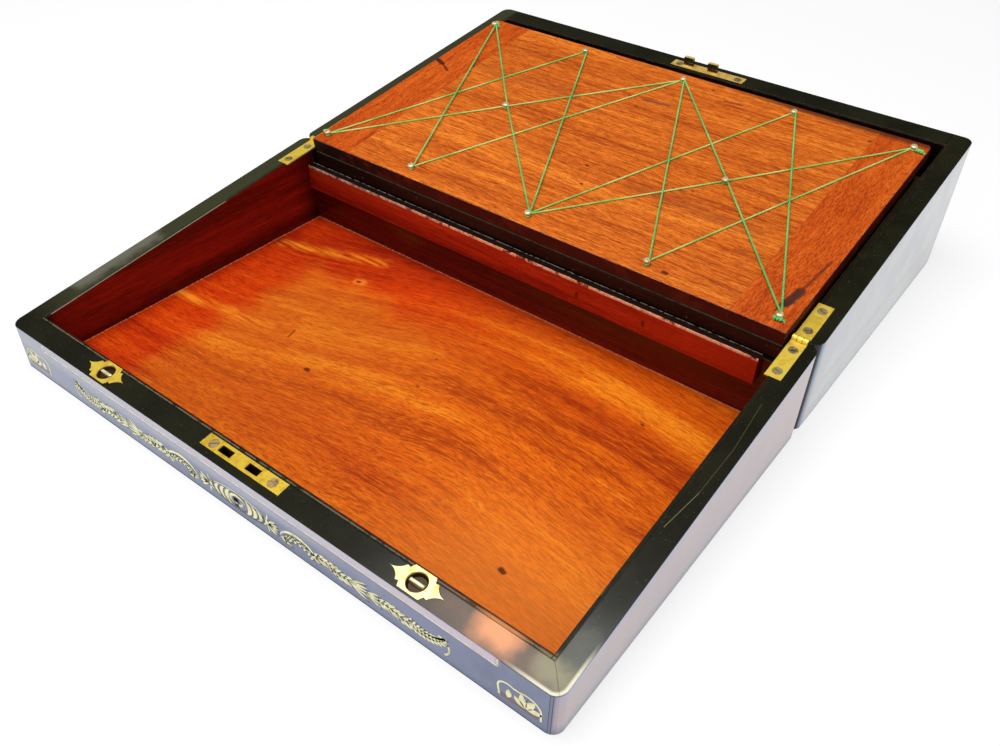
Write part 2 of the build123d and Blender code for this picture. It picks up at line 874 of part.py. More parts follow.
# Link plate on the far rim, with its two hooks standing up from it
with BuildPart() as link_plate:
    add(link_slab(plate_thickness))
    add(screw_room(link_spots, screw_head_radius, plate_thickness), mode=Mode.SUBTRACT)
    for x in hook_places:
        hook_plane = Plane(
            origin=rim.from_local_coords((x, lock_line, 0)),
            x_dir=(1, 0, 0),
            z_dir=-rim.y_dir,
        )
        with BuildSketch(hook_plane):
            with Locations((0, (hook_height - plate_thickness) / 2)):
                RectangleRounded(hook_width, hook_height + plate_thickness, hook_rounding)
            with Locations((-hook_width / 2 + hook_post, hook_mouth_low)):
                Rectangle(
                    hook_width,
                    hook_mouth_high - hook_mouth_low,
                    align=(Align.MIN, Align.MIN),
                    mode=Mode.SUBTRACT,
                )
        extrude(amount=hook_thickness / 2, both=True)
save(link_plate.part, "link_plate")

with BuildPart() as link_screws:
    add(screws(link_spots, screw_head_radius, plate_thickness, link_screw_turns))
save(link_screws.part, "link_screws")

# ==== Far flap: mahogany board with cleats and a leather face, in the base ====

with BuildPart() as far_board:
    add(slab(-cleat_x, cleat_x, flap_low_s, far_flap_end, far_board_low, board_thickness))
save(far_board.part, "far_board")

with BuildPart() as far_cleats:
    add(slab(cleat_x, flap_x, flap_low_s, far_flap_end, far_board_low, board_thickness))
    mirror(about=Plane.YZ)
save(far_cleats.part, "far_cleats")

leather_x = flap_x - leather_inset
with BuildPart() as far_leather:
    add(
        slab(
            -leather_x,
            leather_x,
            flap_low_s + leather_inset,
            far_flap_end - leather_inset,
            far_board_top,
            leather_thickness,
        )
    )
save(far_leather.part, "far_leather")

# Leather hinge strip that joins the two flaps
with BuildPart() as hinge_cloth:
    add(slab(-leather_x, leather_x, flap_low_s, flap_low_s + cloth_width, far_leather_top, cloth_thickness))
save(hinge_cloth.part, "hinge_cloth")

# ==== Near flap, folded over on the far flap with its underside up ====

near_row_s = flap_low_s + near_row_inset
far_row_s = near_flap_end - far_row_inset
tack_rows = (
    ("near", near_row, near_row_s),
    ("middle", middle_row, far_row_s / 2),
    ("far", far_row, far_row_s),
)
tack_places = {
    f"{row}_{name}": (share * flap_x, row_s)
    for row, shares, row_s in tack_rows
    for name, share in shares.items()
}
underside = rim.offset(near_board_top)


def tack_holes():
    """Holes in the near flap that the tack shanks are driven into."""
    with BuildPart(underside) as holes:
        with Locations(*[(x, s, 0) for x, s in tack_places.values()]):
            Cylinder(
                tack_shank_radius,
                tack_sunk,
                align=(Align.CENTER, Align.CENTER, Align.MAX),
            )
    return holes.part


with BuildPart() as near_board:
    add(slab(-cleat_x, cleat_x, flap_low_s, near_flap_end, near_board_low, board_thickness))
    add(tack_holes(), mode=Mode.SUBTRACT)
save(near_board.part, "near_board")

with BuildPart() as cleats:
    add(slab(cleat_x, flap_x, flap_low_s, near_flap_end, near_board_low, board_thickness))
    outer_edges = cleats.edges().filter_by(Axis(rim.origin, rim.z_dir)).sort_by(Axis.X)[-2:]
    fillet(outer_edges.sort_by(Axis.Y)[-1], cleat_corner)
    mirror(about=Plane.YZ)
    add(tack_holes(), mode=Mode.SUBTRACT)
for side, cleat in zip(("left", "right"), cleats.solids().sort_by(Axis.X)):
    save(cleat, f"{side}_cleat")

with BuildPart() as near_leather:
    add(
        slab(
            -leather_x,
            leather_x,
            flap_low_s + leather_inset,
            near_flap_end - leather_inset,
            near_leather_low,
            leather_thickness,
        )
    )
save(near_leather.part, "near_leather")

# Round-headed tacks, standing proud of the board by two thicknesses of string
tack_top_level = near_board_top + tack_head_level + tack_head_height


def is_head_edge(edge):
    """Whether an edge is the top edge of a tack's head."""
    return abs(rim.to_local_coords(edge.center(CenterOf.MASS)).Z - tack_top_level) < string_slack


with BuildPart(underside) as tacks:
    with Locations(*[(x, s, -tack_sunk) for x, s in tack_places.values()]):
        Cylinder(
            tack_shank_radius,
            tack_sunk + tack_head_level,
            align=(Align.CENTER, Align.CENTER, Align.MIN),
        )
    with Locations(*[(x, s, tack_head_level) for x, s in tack_places.values()]):
        Cylinder(
            tack_head_radius,
            tack_head_height,
            align=(Align.CENTER, Align.CENTER, Align.MIN),
        )
    head_edges = tacks.edges().filter_by(GeomType.CIRCLE).filter_by(is_head_edge)
    fillet(head_edges, tack_head_rounding)
save(tacks.part, "tacks")

# Green string, laced round the tacks: the threads that rise to the right lie on the board,
# and the threads that fall to the right cross over them
rising_runs = (
    ("near_a", "far_b"),
    ("near_a", "middle_f"),
    ("middle_f", "far_c"),
    ("near_b", "far_c"),
    ("near_c", "far_d"),
    ("near_c", "middle_g"),
    ("middle_g", "far_e"),
    ("near_d", "far_e"),
)
falling_runs = (
    ("far_a", "near_b"),
    ("far_a", "middle_f"),
    ("middle_f", "near_c"),
    ("far_b", "near_c"),
    ("far_c", "near_d"),
    ("far_c", "middle_g"),
    ("middle_g", "near_e"),
    ("far_d", "near_e"),
)
loop_section = string_radius + loop_thickening
loop_radius = tack_shank_radius + string_slack + loop_section


def lacing(runs, height):
    """String at one height over the board: a loop round each tack, and the runs between."""
    tied = sorted({name for run in runs for name in run})
    with BuildPart(underside) as lace:
        with Locations(*[(*tack_places[name], height) for name in tied]):
            Torus(loop_radius, loop_section)
        for first, last in runs:
            start = Vector(*tack_places[first])
            run = Vector(*tack_places[last]) - start
            aside = run.normalized().rotate(Axis.Z, 90) * loop_radius
            with BuildSketch(string_plane(start + aside, run, height)):
                Circle(string_radius)
            extrude(amount=run.length)
    return lace.part


def string_plane(place, direction, height):
    """Plane across a string that starts at a place on the board and runs along it."""
    return Plane(
        origin=underside.from_local_coords(Vector(place.X, place.Y, height)),
        z_dir=rim.x_dir * direction.X + rim.y_dir * direction.Y,
    )


def knots(places):
    """Knotted ends of the string, beside the corner tacks, each with a short tail."""
    with BuildPart() as tied:
        for name, direction in places.items():
            away = Vector(*direction).normalized()
            knot_place = Vector(*tack_places[name]) + away * knot_offset
            with BuildSketch(string_plane(knot_place, away, knot_height)):
                Circle(tail_radius)
            extrude(amount=tail_length)
            with Locations(underside.from_local_coords(Vector(knot_place.X, knot_place.Y, knot_height))):
                Sphere(knot_radius)
    return tied.part


with BuildPart() as strings:
    add(lacing(rising_runs, string_low))
    add(knots({"near_a": (-1, 0.15), "far_e": (1, -0.35)}))
    add(lacing(falling_runs, string_low + string_rise))
    add(knots({"near_e": (0.8, -0.6), "far_a": (-0.5, 0.85)}))
save(strings.part, "strings")
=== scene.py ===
"""A Victorian writing slope, open on a white table. Sizes are in metres."""

import json
import math
import random

import bmesh
import bpy
from mathutils import Matrix, Vector, noise


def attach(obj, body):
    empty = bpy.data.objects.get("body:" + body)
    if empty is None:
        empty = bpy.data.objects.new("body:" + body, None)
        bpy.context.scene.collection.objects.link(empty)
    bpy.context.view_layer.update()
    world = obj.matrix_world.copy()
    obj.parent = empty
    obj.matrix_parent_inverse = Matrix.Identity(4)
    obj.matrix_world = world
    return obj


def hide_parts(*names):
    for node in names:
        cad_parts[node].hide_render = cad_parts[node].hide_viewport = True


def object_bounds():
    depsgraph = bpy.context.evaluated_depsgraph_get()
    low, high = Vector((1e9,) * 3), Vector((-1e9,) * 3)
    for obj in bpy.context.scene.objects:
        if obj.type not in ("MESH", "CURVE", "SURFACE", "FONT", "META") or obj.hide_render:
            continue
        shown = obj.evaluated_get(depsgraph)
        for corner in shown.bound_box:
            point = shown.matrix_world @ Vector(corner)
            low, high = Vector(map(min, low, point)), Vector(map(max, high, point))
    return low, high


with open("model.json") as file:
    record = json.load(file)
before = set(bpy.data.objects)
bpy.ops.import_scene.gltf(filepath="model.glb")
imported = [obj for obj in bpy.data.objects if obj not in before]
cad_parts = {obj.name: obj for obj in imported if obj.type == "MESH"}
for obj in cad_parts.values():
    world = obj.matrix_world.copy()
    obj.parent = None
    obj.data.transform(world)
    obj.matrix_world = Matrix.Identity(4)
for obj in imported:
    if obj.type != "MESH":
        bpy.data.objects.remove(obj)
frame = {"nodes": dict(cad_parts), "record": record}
cad_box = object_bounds()
nodes = frame["nodes"]
scene = bpy.context.scene

# ---- The view of the photograph ----
camera_place = Vector((0.30268, -0.42900, 0.37385))
camera_right = Vector((0.79157591, 0.61062666, 0.02329522))
camera_up = Vector((-0.40386707, 0.49417665, 0.76985767))
camera_lens = 33.459
sensor_width = 36.0

# ---- The case: its rim slopes down from the hinge line to both ends ----
mm = 0.001
half_width = cad_box[1][0]
half_depth = cad_box[1][1]
hinge_height = 63.5 * mm
near_height = 30.4 * mm
inner_x = 190.8 * mm
lined_x = 188.8 * mm
near_inner_y = -233.1 * mm
near_lined_y = -231.1 * mm
case_corner = 6.5 * mm
slope = math.atan2(hinge_height - near_height, half_depth)
rim_normal = Vector((0, -math.sin(slope), math.cos(slope)))
rim_upward = Vector((0, math.cos(slope), math.sin(slope)))
rim_across = Vector((1, 0, 0))
hinge_line = Vector((0, 0, hinge_height))


def on_rim(x, up_slope, level=0.0):
    """The point at x that lies up_slope from the hinge line and level above the rim plane."""
    return hinge_line + rim_across * x + rim_upward * up_slope + rim_normal * level


# ======== Shader building ========


def srgb(red, green, blue):
    """A colour given as it looks on a screen, from 0 to 255, made linear."""
    return tuple(
        (c / 255 / 12.92) if c <= 10 else ((c / 255 + 0.055) / 1.055) ** 2.4
        for c in (red, green, blue)
    )


class Tree:
    """The nodes of one material, with a short call for each kind that is used here."""

    def __init__(self, name):
        self.material = bpy.data.materials.new(name)
        self.material.use_nodes = True
        self.nodes = self.material.node_tree.nodes
        self.links = self.material.node_tree.links
        self.shader = self.nodes["Principled BSDF"]
        where = self.nodes.new("ShaderNodeTexCoord")
        self.place = where.outputs["Object"]
        self.normal = where.outputs["Normal"]
        self.x, self.y, self.z = (self.node("SeparateXYZ", axis, {0: self.place}) for axis in range(3))
        self.up_slope = self.dot(self.vector("SUBTRACT", self.place, hinge_line), rim_upward)
        self.level = self.dot(self.vector("SUBTRACT", self.place, hinge_line), rim_normal)
        self.up = self.ramp(self.dot(self.normal, rim_normal), 0.45, 0.80)

    def feed(self, socket, value):
        """Links another socket's output, or sets a plain value."""
        if isinstance(value, bpy.types.NodeSocket):
            self.links.new(value, socket)
        elif socket.type == "RGBA":
            socket.default_value = (*value, 1.0)
        else:
            socket.default_value = value

    def node(self, kind, output=0, feeds=(), **settings):
        """Adds a node with its settings, feeds its sockets by name or number, and gives an output."""
        made = self.nodes.new("ShaderNode" + kind)
        for key, setting in settings.items():
            setattr(made, key, setting)
        for key, value in dict(feeds).items():
            self.feed(made.inputs[key], value)
        return made.outputs[output]

    def math(self, operation, first, second=0.0):
        return self.node("Math", feeds={0: first, 1: second}, operation=operation)

    def times(self, *factors):
        """The product of several numbers."""
        product = factors[0]
        for factor in factors[1:]:
            product = self.math("MULTIPLY", product, factor)
        return product

    def rest(self, share):
        """What is left of 1."""
        return self.math("SUBTRACT", 1.0, share)

    def vector(self, operation, first, second):
        return self.node("VectorMath", feeds={0: first, 1: second}, operation=operation)

    def dot(self, first, second):
        return self.node("VectorMath", "Value", {0: first, 1: second}, operation="DOT_PRODUCT")

    def noise(self, place, detail=2.0, roughness=0.5, output=0):
        feeds = {"Vector": place, "Scale": 1.0, "Detail": detail, "Roughness": roughness}
        return self.node("TexNoise", output, feeds)

    def cloud(self, scale, detail=2.0, roughness=0.5):
        """Noise of the same size in every direction."""
        return self.noise(self.vector("MULTIPLY", self.place, (scale,) * 3), detail, roughness)

    def ramp(self, value, low, high, start=0.0, end=1.0):
        """Rises smoothly from start to end as the value goes from low to high."""
        feeds = {"Value": value, "From Min": low, "From Max": high, "To Min": start, "To Max": end}
        return self.node("MapRange", 0, feeds, interpolation_type="SMOOTHSTEP")

    def mix(self, share, first, second, blend="MIX"):
        return self.node("MixRGB", 0, {0: share, 1: first, 2: second}, blend_type=blend)

    def between(self, share, first, second):
        """A number part of the way from the first to the second."""
        feeds = {"Value": share, "From Min": 0.0, "From Max": 1.0, "To Min": first, "To Max": second}
        return self.node("MapRange", 0, feeds)

    def grain_place(self, place, along, across, axis):
        """The place, stretched so that a noise on it runs in lines along one axis."""
        scale = [across, across, across]
        scale[axis] = along
        return self.vector("MULTIPLY", place, scale)

    def streak(self, start, end, radius, fray=0.35, core=0.45):
        """1 on a mark from start to end, 0 away from it, with a frayed edge that is soft down to its core."""
        start, run = Vector(start), Vector(end) - Vector(start)
        away = self.vector("SUBTRACT", self.place, start)
        if run.length > 0:
            share = self.math("MULTIPLY", self.dot(away, run), 1 / run.length_squared)
            share = self.node("Clamp", feeds={0: share})
            back = self.node("VectorMath", 0, {0: run, "Scale": share}, operation="SCALE")
            away = self.vector("SUBTRACT", away, back)
        distance = self.node("VectorMath", "Value", {0: away}, operation="LENGTH")
        frayed = self.cloud(1.1 / radius, 3.0)
        wide = self.math("ADD", self.math("DIVIDE", distance, radius), self.between(frayed, -fray, fray))
        return self.ramp(wide, 1.0, core)

    def line(self, value, at, width, fray=0.0, scale=260):
        """1 where a coordinate passes through a value, as a line of about this width."""
        away = self.math("ABSOLUTE", self.math("SUBTRACT", value, at))
        if fray:
            away = self.math("ADD", away, self.between(self.cloud(scale, 3.0, 0.6), -fray, fray))
        return self.ramp(away, width * 0.5, width * 0.3)

    def patches(self, scale, low=0.42, high=0.58):
        """1 in cloudy patches, 0 between them."""
        return self.ramp(self.cloud(scale, 3.0, 0.65), low, high)

    def edges(self, radius, low=0.02, high=0.25):
        """1 on the worn arrises, where a rounded normal leaves the true one, 0 on the flats."""
        rounded = self.node("Bevel", 0, {"Radius": radius}, samples=4)
        true = self.node("NewGeometry", "Normal")
        return self.ramp(self.rest(self.dot(rounded, true)), low, high)

    def finish(self, color, roughness, height, depth, rounding=0.0, **settings):
        """Feeds the shader, and gives the material: depth is how deep the bumps are."""
        self.feed(self.shader.inputs["Base Color"], color)
        self.feed(self.shader.inputs["Roughness"], roughness)
        feeds = {"Height": height, "Distance": depth, "Strength": 1.0}
        if rounding:
            feeds["Normal"] = self.node("Bevel", 0, {"Radius": rounding}, samples=4)
        self.feed(self.shader.inputs["Normal"], self.node("Bump", 0, feeds))
        for name, value in settings.items():
            socket = name.replace("_", " ").title().replace("Ior", "IOR")
            self.shader.inputs[socket].default_value = value
        return self.material


# ======== Wood ========
dull_varnish = 0.14


def darker(color, share):
    return tuple(c * share for c in color)


def mahogany(tree, dark, middle, light, axis=0, fleck=0.4, wave=0.006, place=None, figure=0.6, band=42):
    """Colour, roughness and height of polished mahogany: its grain runs along one axis, in bands and finer lines."""
    place = place or tree.place
    bend = tree.noise(tree.vector("MULTIPLY", tree.place, (7, 7, 7)), 2.0, output=1)
    bend = tree.vector("MULTIPLY", tree.vector("SUBTRACT", bend, (0.5, 0.5, 0.5)), (wave,) * 3)
    place = tree.vector("ADD", place, bend)
    bands = tree.noise(tree.grain_place(place, 3.2, band, axis), 3.0, 0.55)
    lines = tree.noise(tree.grain_place(place, 13, 330, axis), 4.0, 0.7)
    flecks = tree.noise(tree.grain_place(place, 120, 1500, axis), 2.0, 0.6)
    pores = tree.noise(tree.grain_place(place, 300, 3400, axis), 1.0)
    tone = tree.math("ADD", tree.times(bands, figure), tree.times(lines, 1 - figure))
    color = tree.mix(tree.ramp(tone, 0.38, 0.50), dark, middle)
    color = tree.mix(tree.ramp(tone, 0.50, 0.62), color, light)
    color = tree.mix(tree.times(tree.ramp(flecks, 0.50, 0.62), fleck), color, darker(dark, 0.62))
    color = tree.mix(tree.times(tree.ramp(flecks, 0.47, 0.36), fleck * 0.8), color, light)
    pit = tree.ramp(pores, 0.58, 0.68)
    color = tree.mix(tree.times(pit, 0.5), color, darker(dark, 0.4))
    roughness = tree.between(lines, 0.34, 0.50)
    height = tree.math("SUBTRACT", tree.times(lines, 0.5), tree.times(pit, 0.6))
    return color, roughness, height


def wear_edges(tree, color, tone, radius=0.5 * mm, share=0.8):
    """Lightens the arrises in patches, as handling does."""
    worn = tree.times(tree.edges(radius), tree.patches(160, 0.42, 0.60))
    return tree.mix(tree.times(worn, share), color, tone)


def floor_wood():
    """The bright bottom board of the lid: its figure sweeps up from the left, with a few old marks, painted shade and
    painted dark reflections of the walls along its left and back, a painted pale reflection, and a painted pool of
    light towards its right.
    """
    tree = Tree("lid_floor_mahogany")
    sweep = tree.times(tree.ramp(tree.x, -0.21, 0.04, 0, 0.050), tree.ramp(tree.y, -0.26, -0.07))
    fall = tree.ramp(tree.x, 0.06, 0.24, 0, 0.010)
    shift = tree.node("CombineXYZ", 0, {1: tree.math("SUBTRACT", fall, sweep)})
    swept = tree.vector("ADD", tree.place, shift)
    tones = srgb(184, 64, 2), srgb(230, 100, 8), srgb(255, 142, 26)
    color, roughness, height = mahogany(tree, *tones, fleck=0.5, wave=0.02, place=swept)
    broad = tree.noise(tree.grain_place(swept, 2.2, 17, 0), 2.0, 0.5)
    color = tree.mix(tree.times(tree.ramp(broad, 0.50, 0.64), 0.36), color, srgb(206, 112, 50), "MULTIPLY")
    # Painted shade and painted dark reflection of the walls: darker and redder along the left lining and the back.
    soft = tree.cloud(48, 4.0, 0.6)
    side = tree.ramp(tree.math("ADD", tree.x, tree.between(soft, -0.016, 0.016)), -0.124, -0.152)
    back = tree.ramp(tree.math("ADD", tree.y, tree.between(soft, -0.020, 0.020)), -0.084, -0.044)
    back = tree.times(back, tree.ramp(tree.x, 0.08, -0.06))
    shaded = tree.math("MAXIMUM", side, back)
    color = tree.mix(tree.times(shaded, 0.85), color, srgb(230, 128, 56), "MULTIPLY")
    # Painted pale reflection on the floor, outside the shaded zone and towards the left.
    painted_pale_reflection = tree.times(tree.rest(shaded), tree.ramp(tree.x, 0.10, -0.09), tree.ramp(tree.y, -0.235, -0.10, 0.5, 1))
    color = tree.mix(tree.times(painted_pale_reflection, 0.34), color, srgb(180, 90, 28))
    # Painted pool of light: the board is made brighter towards the right.
    lit = tree.times(tree.ramp(tree.x, 0.03, 0.13), tree.ramp(tree.y, -0.11, -0.20), 0.5)
    color = tree.mix(lit, color, srgb(255, 146, 48))
    # Painted shade beside the hinge wall and the left lining.
    wall = tree.math("MAXIMUM", tree.ramp(tree.y, -0.040, -0.006), tree.ramp(tree.x, -0.172, -0.190))
    color = tree.mix(tree.times(wall, 0.45), color, srgb(196, 120, 80), "MULTIPLY")
    color = floor_marks(tree, color)
    seat = tree.math("MAXIMUM", tree.line(tree.y, -7.9 * mm, 1.3 * mm, 0.3 * mm),
                     tree.line(tree.math("ABSOLUTE", tree.x), lined_x - 0.5 * mm, 1.1 * mm, 0.3 * mm))
    color = tree.mix(tree.times(seat, tree.patches(500), 0.75), color, srgb(206, 150, 116))
    return tree.finish(color, roughness, height, 0.08 * mm, specular_ior_level=dull_varnish)


def floor_marks(tree, color):
    """Knots, scratches and pale streaks of the lid's bottom board."""
    knot, scratch, pale = (50, 14, 5), (92, 30, 10), (255, 146, 34)
    fibres = tree.ramp(tree.noise(tree.grain_place(tree.place, 24, 420, 0), 4.0, 0.7), 0.40, 0.58)
    marks = (
        ((0.1305, -0.1911), (0.1326, -0.1918), 2.2 * mm, 0.85, knot),
        ((-0.0592, -0.1435), (-0.0575, -0.1437), 2.1 * mm, 0.8, knot),
        ((-0.1024, -0.0537), (-0.0995, -0.0528), 5.0 * mm, 0.6, (255, 136, 40)),
        ((-0.1024, -0.0537), (-0.1010, -0.0533), 1.7 * mm, 0.85, knot),
        ((-0.0922, -0.1283), (-0.0943, -0.1202), 0.6 * mm, 0.8, knot),
        ((-0.1891, -0.1405), (-0.1103, -0.1292), 8.0 * mm, 0.85, pale),
        ((-0.1795, -0.0514), (-0.1031, -0.0250), 8.0 * mm, 0.75, pale),
        ((0.0050, -0.1120), (0.0060, -0.1122), 1.2 * mm, 0.6, scratch),
        ((-0.0030, -0.0850), (-0.0022, -0.0850), 1.0 * mm, 0.6, scratch),
        ((0.1300, -0.0550), (0.1315, -0.0552), 1.1 * mm, 0.7, knot),
    )
    for start, end, radius, strength, tone in marks:
        mark = tree.streak((*start, 4 * mm), (*end, 4 * mm), radius, core=0.0 if tone == pale else 0.4)
        mark = tree.times(mark, fibres) if tone == pale else mark
        color = tree.mix(tree.times(mark, strength), color, srgb(*tone))
    return color


def board_marks(tree, color):
    """Ink, water and old dents on the underside of the near flap."""
    board = 8.0 * mm
    ink, dent, bruise = (58, 34, 34), (72, 26, 12), (150, 66, 28)
    marks = (
        ((-0.183, 0.132), (-0.176, 0.129), 2.8 * mm, 0.9, (46, 22, 14)),
        ((-0.176, 0.129), (-0.165, 0.122), 1.5 * mm, 0.8, (66, 30, 18)),
        ((0.1745, 0.014), (0.1765, 0.029), 3.9 * mm, 0.92, ink),
        ((0.1765, 0.029), (0.1800, 0.062), 1.5 * mm, 0.75, (96, 40, 20)),
        ((0.1725, 0.018), (0.1715, 0.006), 0.9 * mm, 0.7, ink),
        ((-0.0105, 0.1640), (0.0100, 0.1668), 1.7 * mm, 0.75, (104, 66, 58)),
        ((0.0410, 0.1928), (0.0540, 0.1938), 1.6 * mm, 0.7, (128, 44, 40)),
        ((-0.0110, 0.1530), (-0.0098, 0.1530), 1.9 * mm, 0.6, (110, 50, 28)),
        ((0.0020, 0.0700), (0.0032, 0.0698), 1.3 * mm, 0.8, dent),
        ((0.0110, 0.0500), (0.0120, 0.0497), 1.3 * mm, 0.85, dent),
        ((0.1030, 0.0005), (0.1050, 0.0005), 1.8 * mm, 0.85, dent),
        ((0.0760, 0.0820), (0.0775, 0.0815), 1.1 * mm, 0.7, dent),
        ((0.1477, 0.1972), (0.1485, 0.1970), 1.4 * mm, 0.9, dent),
        ((0.0256, 0.2032), (0.0264, 0.2028), 1.4 * mm, 0.7, dent),
        ((-0.1500, 0.1400), (-0.0600, 0.1430), 9.0 * mm, 0.35, bruise),
        ((0.0400, 0.0670), (0.1300, 0.0640), 8.0 * mm, 0.35, bruise),
    )
    for (x, s), (far_x, far_s), radius, strength, tone in marks:
        mark = tree.streak(on_rim(x, s, board), on_rim(far_x, far_s, board), radius)
        color = tree.mix(tree.times(mark, strength), color, srgb(*tone))
    return color


def board_wood(name, axis, tones):
    """The near flap's wood: dry orange underside with stains, edges painted dark partly as dirt and partly as shade,
    painted shade along its far edge, a rubbed front arris.
    """
    tree = Tree(name)
    color, roughness, height = mahogany(tree, *tones, axis=axis, fleck=0.6, figure=0.45, band=74)
    color = board_marks(tree, color)
    # The edges are painted dark, partly as dirt and partly as shade, darkest towards the left.
    right = tree.ramp(tree.x, -0.17, -0.05)
    shaded_dirty_edges = tree.mix(right, srgb(24, 8, 4), srgb(66, 13, 5))
    blotch = tree.patches(70, 0.48, 0.62)
    shaded_dirty_edges = tree.mix(tree.times(blotch, 0.6), shaded_dirty_edges, srgb(92, 28, 12))
    sooty = tree.ramp(tree.level, 5.6 * mm, 7.6 * mm)
    shaded_dirty_edges = tree.mix(tree.times(sooty, tree.patches(220), 0.8), shaded_dirty_edges, srgb(24, 8, 6))
    color = tree.mix(tree.up, shaded_dirty_edges, color)
    front = -7.85 * mm
    rubbed = tree.times(tree.line(tree.up_slope, front, 2.6 * mm, 0.8 * mm, 420), tree.ramp(tree.level, 7.3 * mm, 7.6 * mm))
    pale = tree.mix(tree.ramp(tree.x, -0.12, 0.04), srgb(92, 50, 38), srgb(156, 92, 68))
    color = tree.mix(tree.times(rubbed, tree.patches(340, 0.44, 0.56), 0.75), color, pale)
    # Painted shade where the board's far edge meets the far flap.
    far_edge_shade = tree.times(tree.ramp(tree.up_slope, 0.204, 0.211), tree.ramp(tree.x, 0.02, 0.10), 0.85)
    color = tree.mix(far_edge_shade, color, srgb(72, 28, 14))
    color = tree.mix(tree.times(tree.edges(0.6 * mm), tree.patches(160), 0.35), color, srgb(170, 100, 66))
    matt = tree.between(tree.cloud(30), 0.46, 0.62)
    return tree.finish(color, matt, height, 0.15 * mm, 0.3 * mm, specular_ior_level=dull_varnish)


def shaded_dirty_wood(name):
    """The far flap's edges, painted nearly black partly as shade and partly as old polish and dirt."""
    tree = Tree(name)
    tones = srgb(22, 7, 4), srgb(40, 12, 6), srgb(58, 20, 10)
    color, roughness, height = mahogany(tree, *tones, fleck=0.3)
    left = tree.ramp(tree.x, -0.04, -0.16)
    color = tree.mix(tree.times(left, 0.6), color, srgb(110, 110, 110), "MULTIPLY")
    nick = tree.ramp(tree.cloud(420, 2.0, 0.6), 0.70, 0.76)
    color = tree.mix(tree.times(nick, 0.7), color, srgb(150, 120, 100))
    return tree.finish(color, roughness, height, 0.08 * mm, 0.3 * mm, specular_ior_level=dull_varnish)


def joint_lines(tree, color, tone, share):
    """The glue lines of the rim, where the linings meet the case, and a pale line between them that is partly wear and
    partly a painted highlight.
    """
    aside = tree.math("ABSOLUTE", tree.x)
    inside = tree.ramp(tree.y, near_inner_y - 0.3 * mm, near_inner_y)
    across = tree.times(tree.math("MAXIMUM", tree.line(aside, inner_x, 0.5 * mm), tree.line(aside, lined_x, 0.9 * mm)), inside)
    between = tree.ramp(aside, inner_x + 0.3 * mm, inner_x)
    near = tree.math("MAXIMUM", tree.line(tree.y, near_inner_y, 0.5 * mm), tree.line(tree.y, near_lined_y, 0.9 * mm))
    joint = tree.times(tree.math("MAXIMUM", across, tree.times(near, between)), tree.up, share)
    # Partly wear and partly a painted highlight: a pale broken line along the near lining's top.
    worn = tree.line(tree.y, (near_inner_y + near_lined_y) / 2, 0.8 * mm)
    worn = tree.times(worn, tree.ramp(aside, inner_x, inner_x - 1 * mm), tree.up, tree.patches(160, 0.38, 0.50), 0.6)
    return tree.mix(joint, tree.mix(worn, color, srgb(140, 134, 108)), tone)


def inner_wood(name, tones, axis, wear=0.8, dark_top=True):
    """Deep red mahogany of the linings, darker towards the bottom and with painted shade at both ends, whose top edges
    are blackened with the rim.
    """
    tree = Tree(name)
    color, roughness, height = mahogany(tree, *tones, axis=axis, fleck=0.3)
    low = tree.ramp(tree.z, 22 * mm, 4 * mm)
    color = tree.mix(tree.times(low, 0.35), color, srgb(150, 110, 100), "MULTIPLY")
    # Painted shade in the corners at both ends of the linings.
    ends = tree.math("MAXIMUM", tree.ramp(tree.y, -0.030, -0.008), tree.ramp(tree.y, -0.222, -0.232))
    color = tree.mix(tree.times(ends, 0.75), color, srgb(70, 50, 46), "MULTIPLY")
    if dark_top:
        rim_color, _, _ = ebonised(tree)
        rim_color = joint_lines(tree, rim_wear_and_reflections(tree, rim_color), srgb(8, 8, 4), 0.8)
        color = tree.mix(tree.up, color, rim_color)
    if wear:
        color = wear_edges(tree, color, srgb(196, 120, 78), 0.45 * mm, wear)
    return tree.finish(color, roughness, height, 0.08 * mm, specular_ior_level=dull_varnish)


def rail_wood():
    """The lid's hinge rail: red face, black top, and both top arrises in broken pale lines, partly rubbed through to
    the wood and partly painted highlight.
    """
    tree = Tree("hinge_rail_mahogany")
    tones = srgb(128, 18, 4), srgb(166, 34, 8), srgb(194, 56, 18)
    color, roughness, height = mahogany(tree, *tones, fleck=0.3)
    left = tree.ramp(tree.x, -0.07, -0.18)
    color = tree.mix(tree.times(left, 0.45), color, srgb(140, 90, 90), "MULTIPLY")
    color = tree.mix(tree.times(tree.ramp(tree.x, 0.05, 0.17), 0.5), color, srgb(168, 34, 6))
    color = tree.mix(tree.up, color, srgb(26, 10, 7))
    # Pale broken lines along both top arrises: partly rubbed wood and partly painted highlight.
    rubbed_and_highlight = tree.mix(tree.ramp(tree.x, -0.17, -0.02), srgb(128, 108, 92), srgb(240, 150, 100))
    rubbed_and_highlight = tree.mix(tree.times(tree.patches(700), 0.5), rubbed_and_highlight, srgb(255, 214, 186))
    near = tree.math("MULTIPLY", tree.line(tree.y, -12.3 * mm, 1.2 * mm, 0.45 * mm, 380), tree.ramp(tree.level, -14.6 * mm, -13.8 * mm))
    far = tree.line(tree.y, -7.3 * mm, 1.3 * mm, 0.5 * mm, 380)
    color = tree.mix(tree.times(near, tree.patches(210, 0.36, 0.50), 0.85), color, rubbed_and_highlight)
    color = tree.mix(tree.times(far, tree.patches(260, 0.42, 0.52), 0.75), color, srgb(150, 134, 120))
    for x in (0.052, 0.1005):
        chip = tree.streak((x, -12.4 * mm, 38 * mm), (x, -12.4 * mm, 40 * mm), 1.6 * mm)
        color = tree.mix(tree.times(chip, 0.7), color, srgb(52, 10, 6))
    return tree.finish(color, roughness, height, 0.08 * mm, 0.3 * mm, specular_ior_level=dull_varnish)


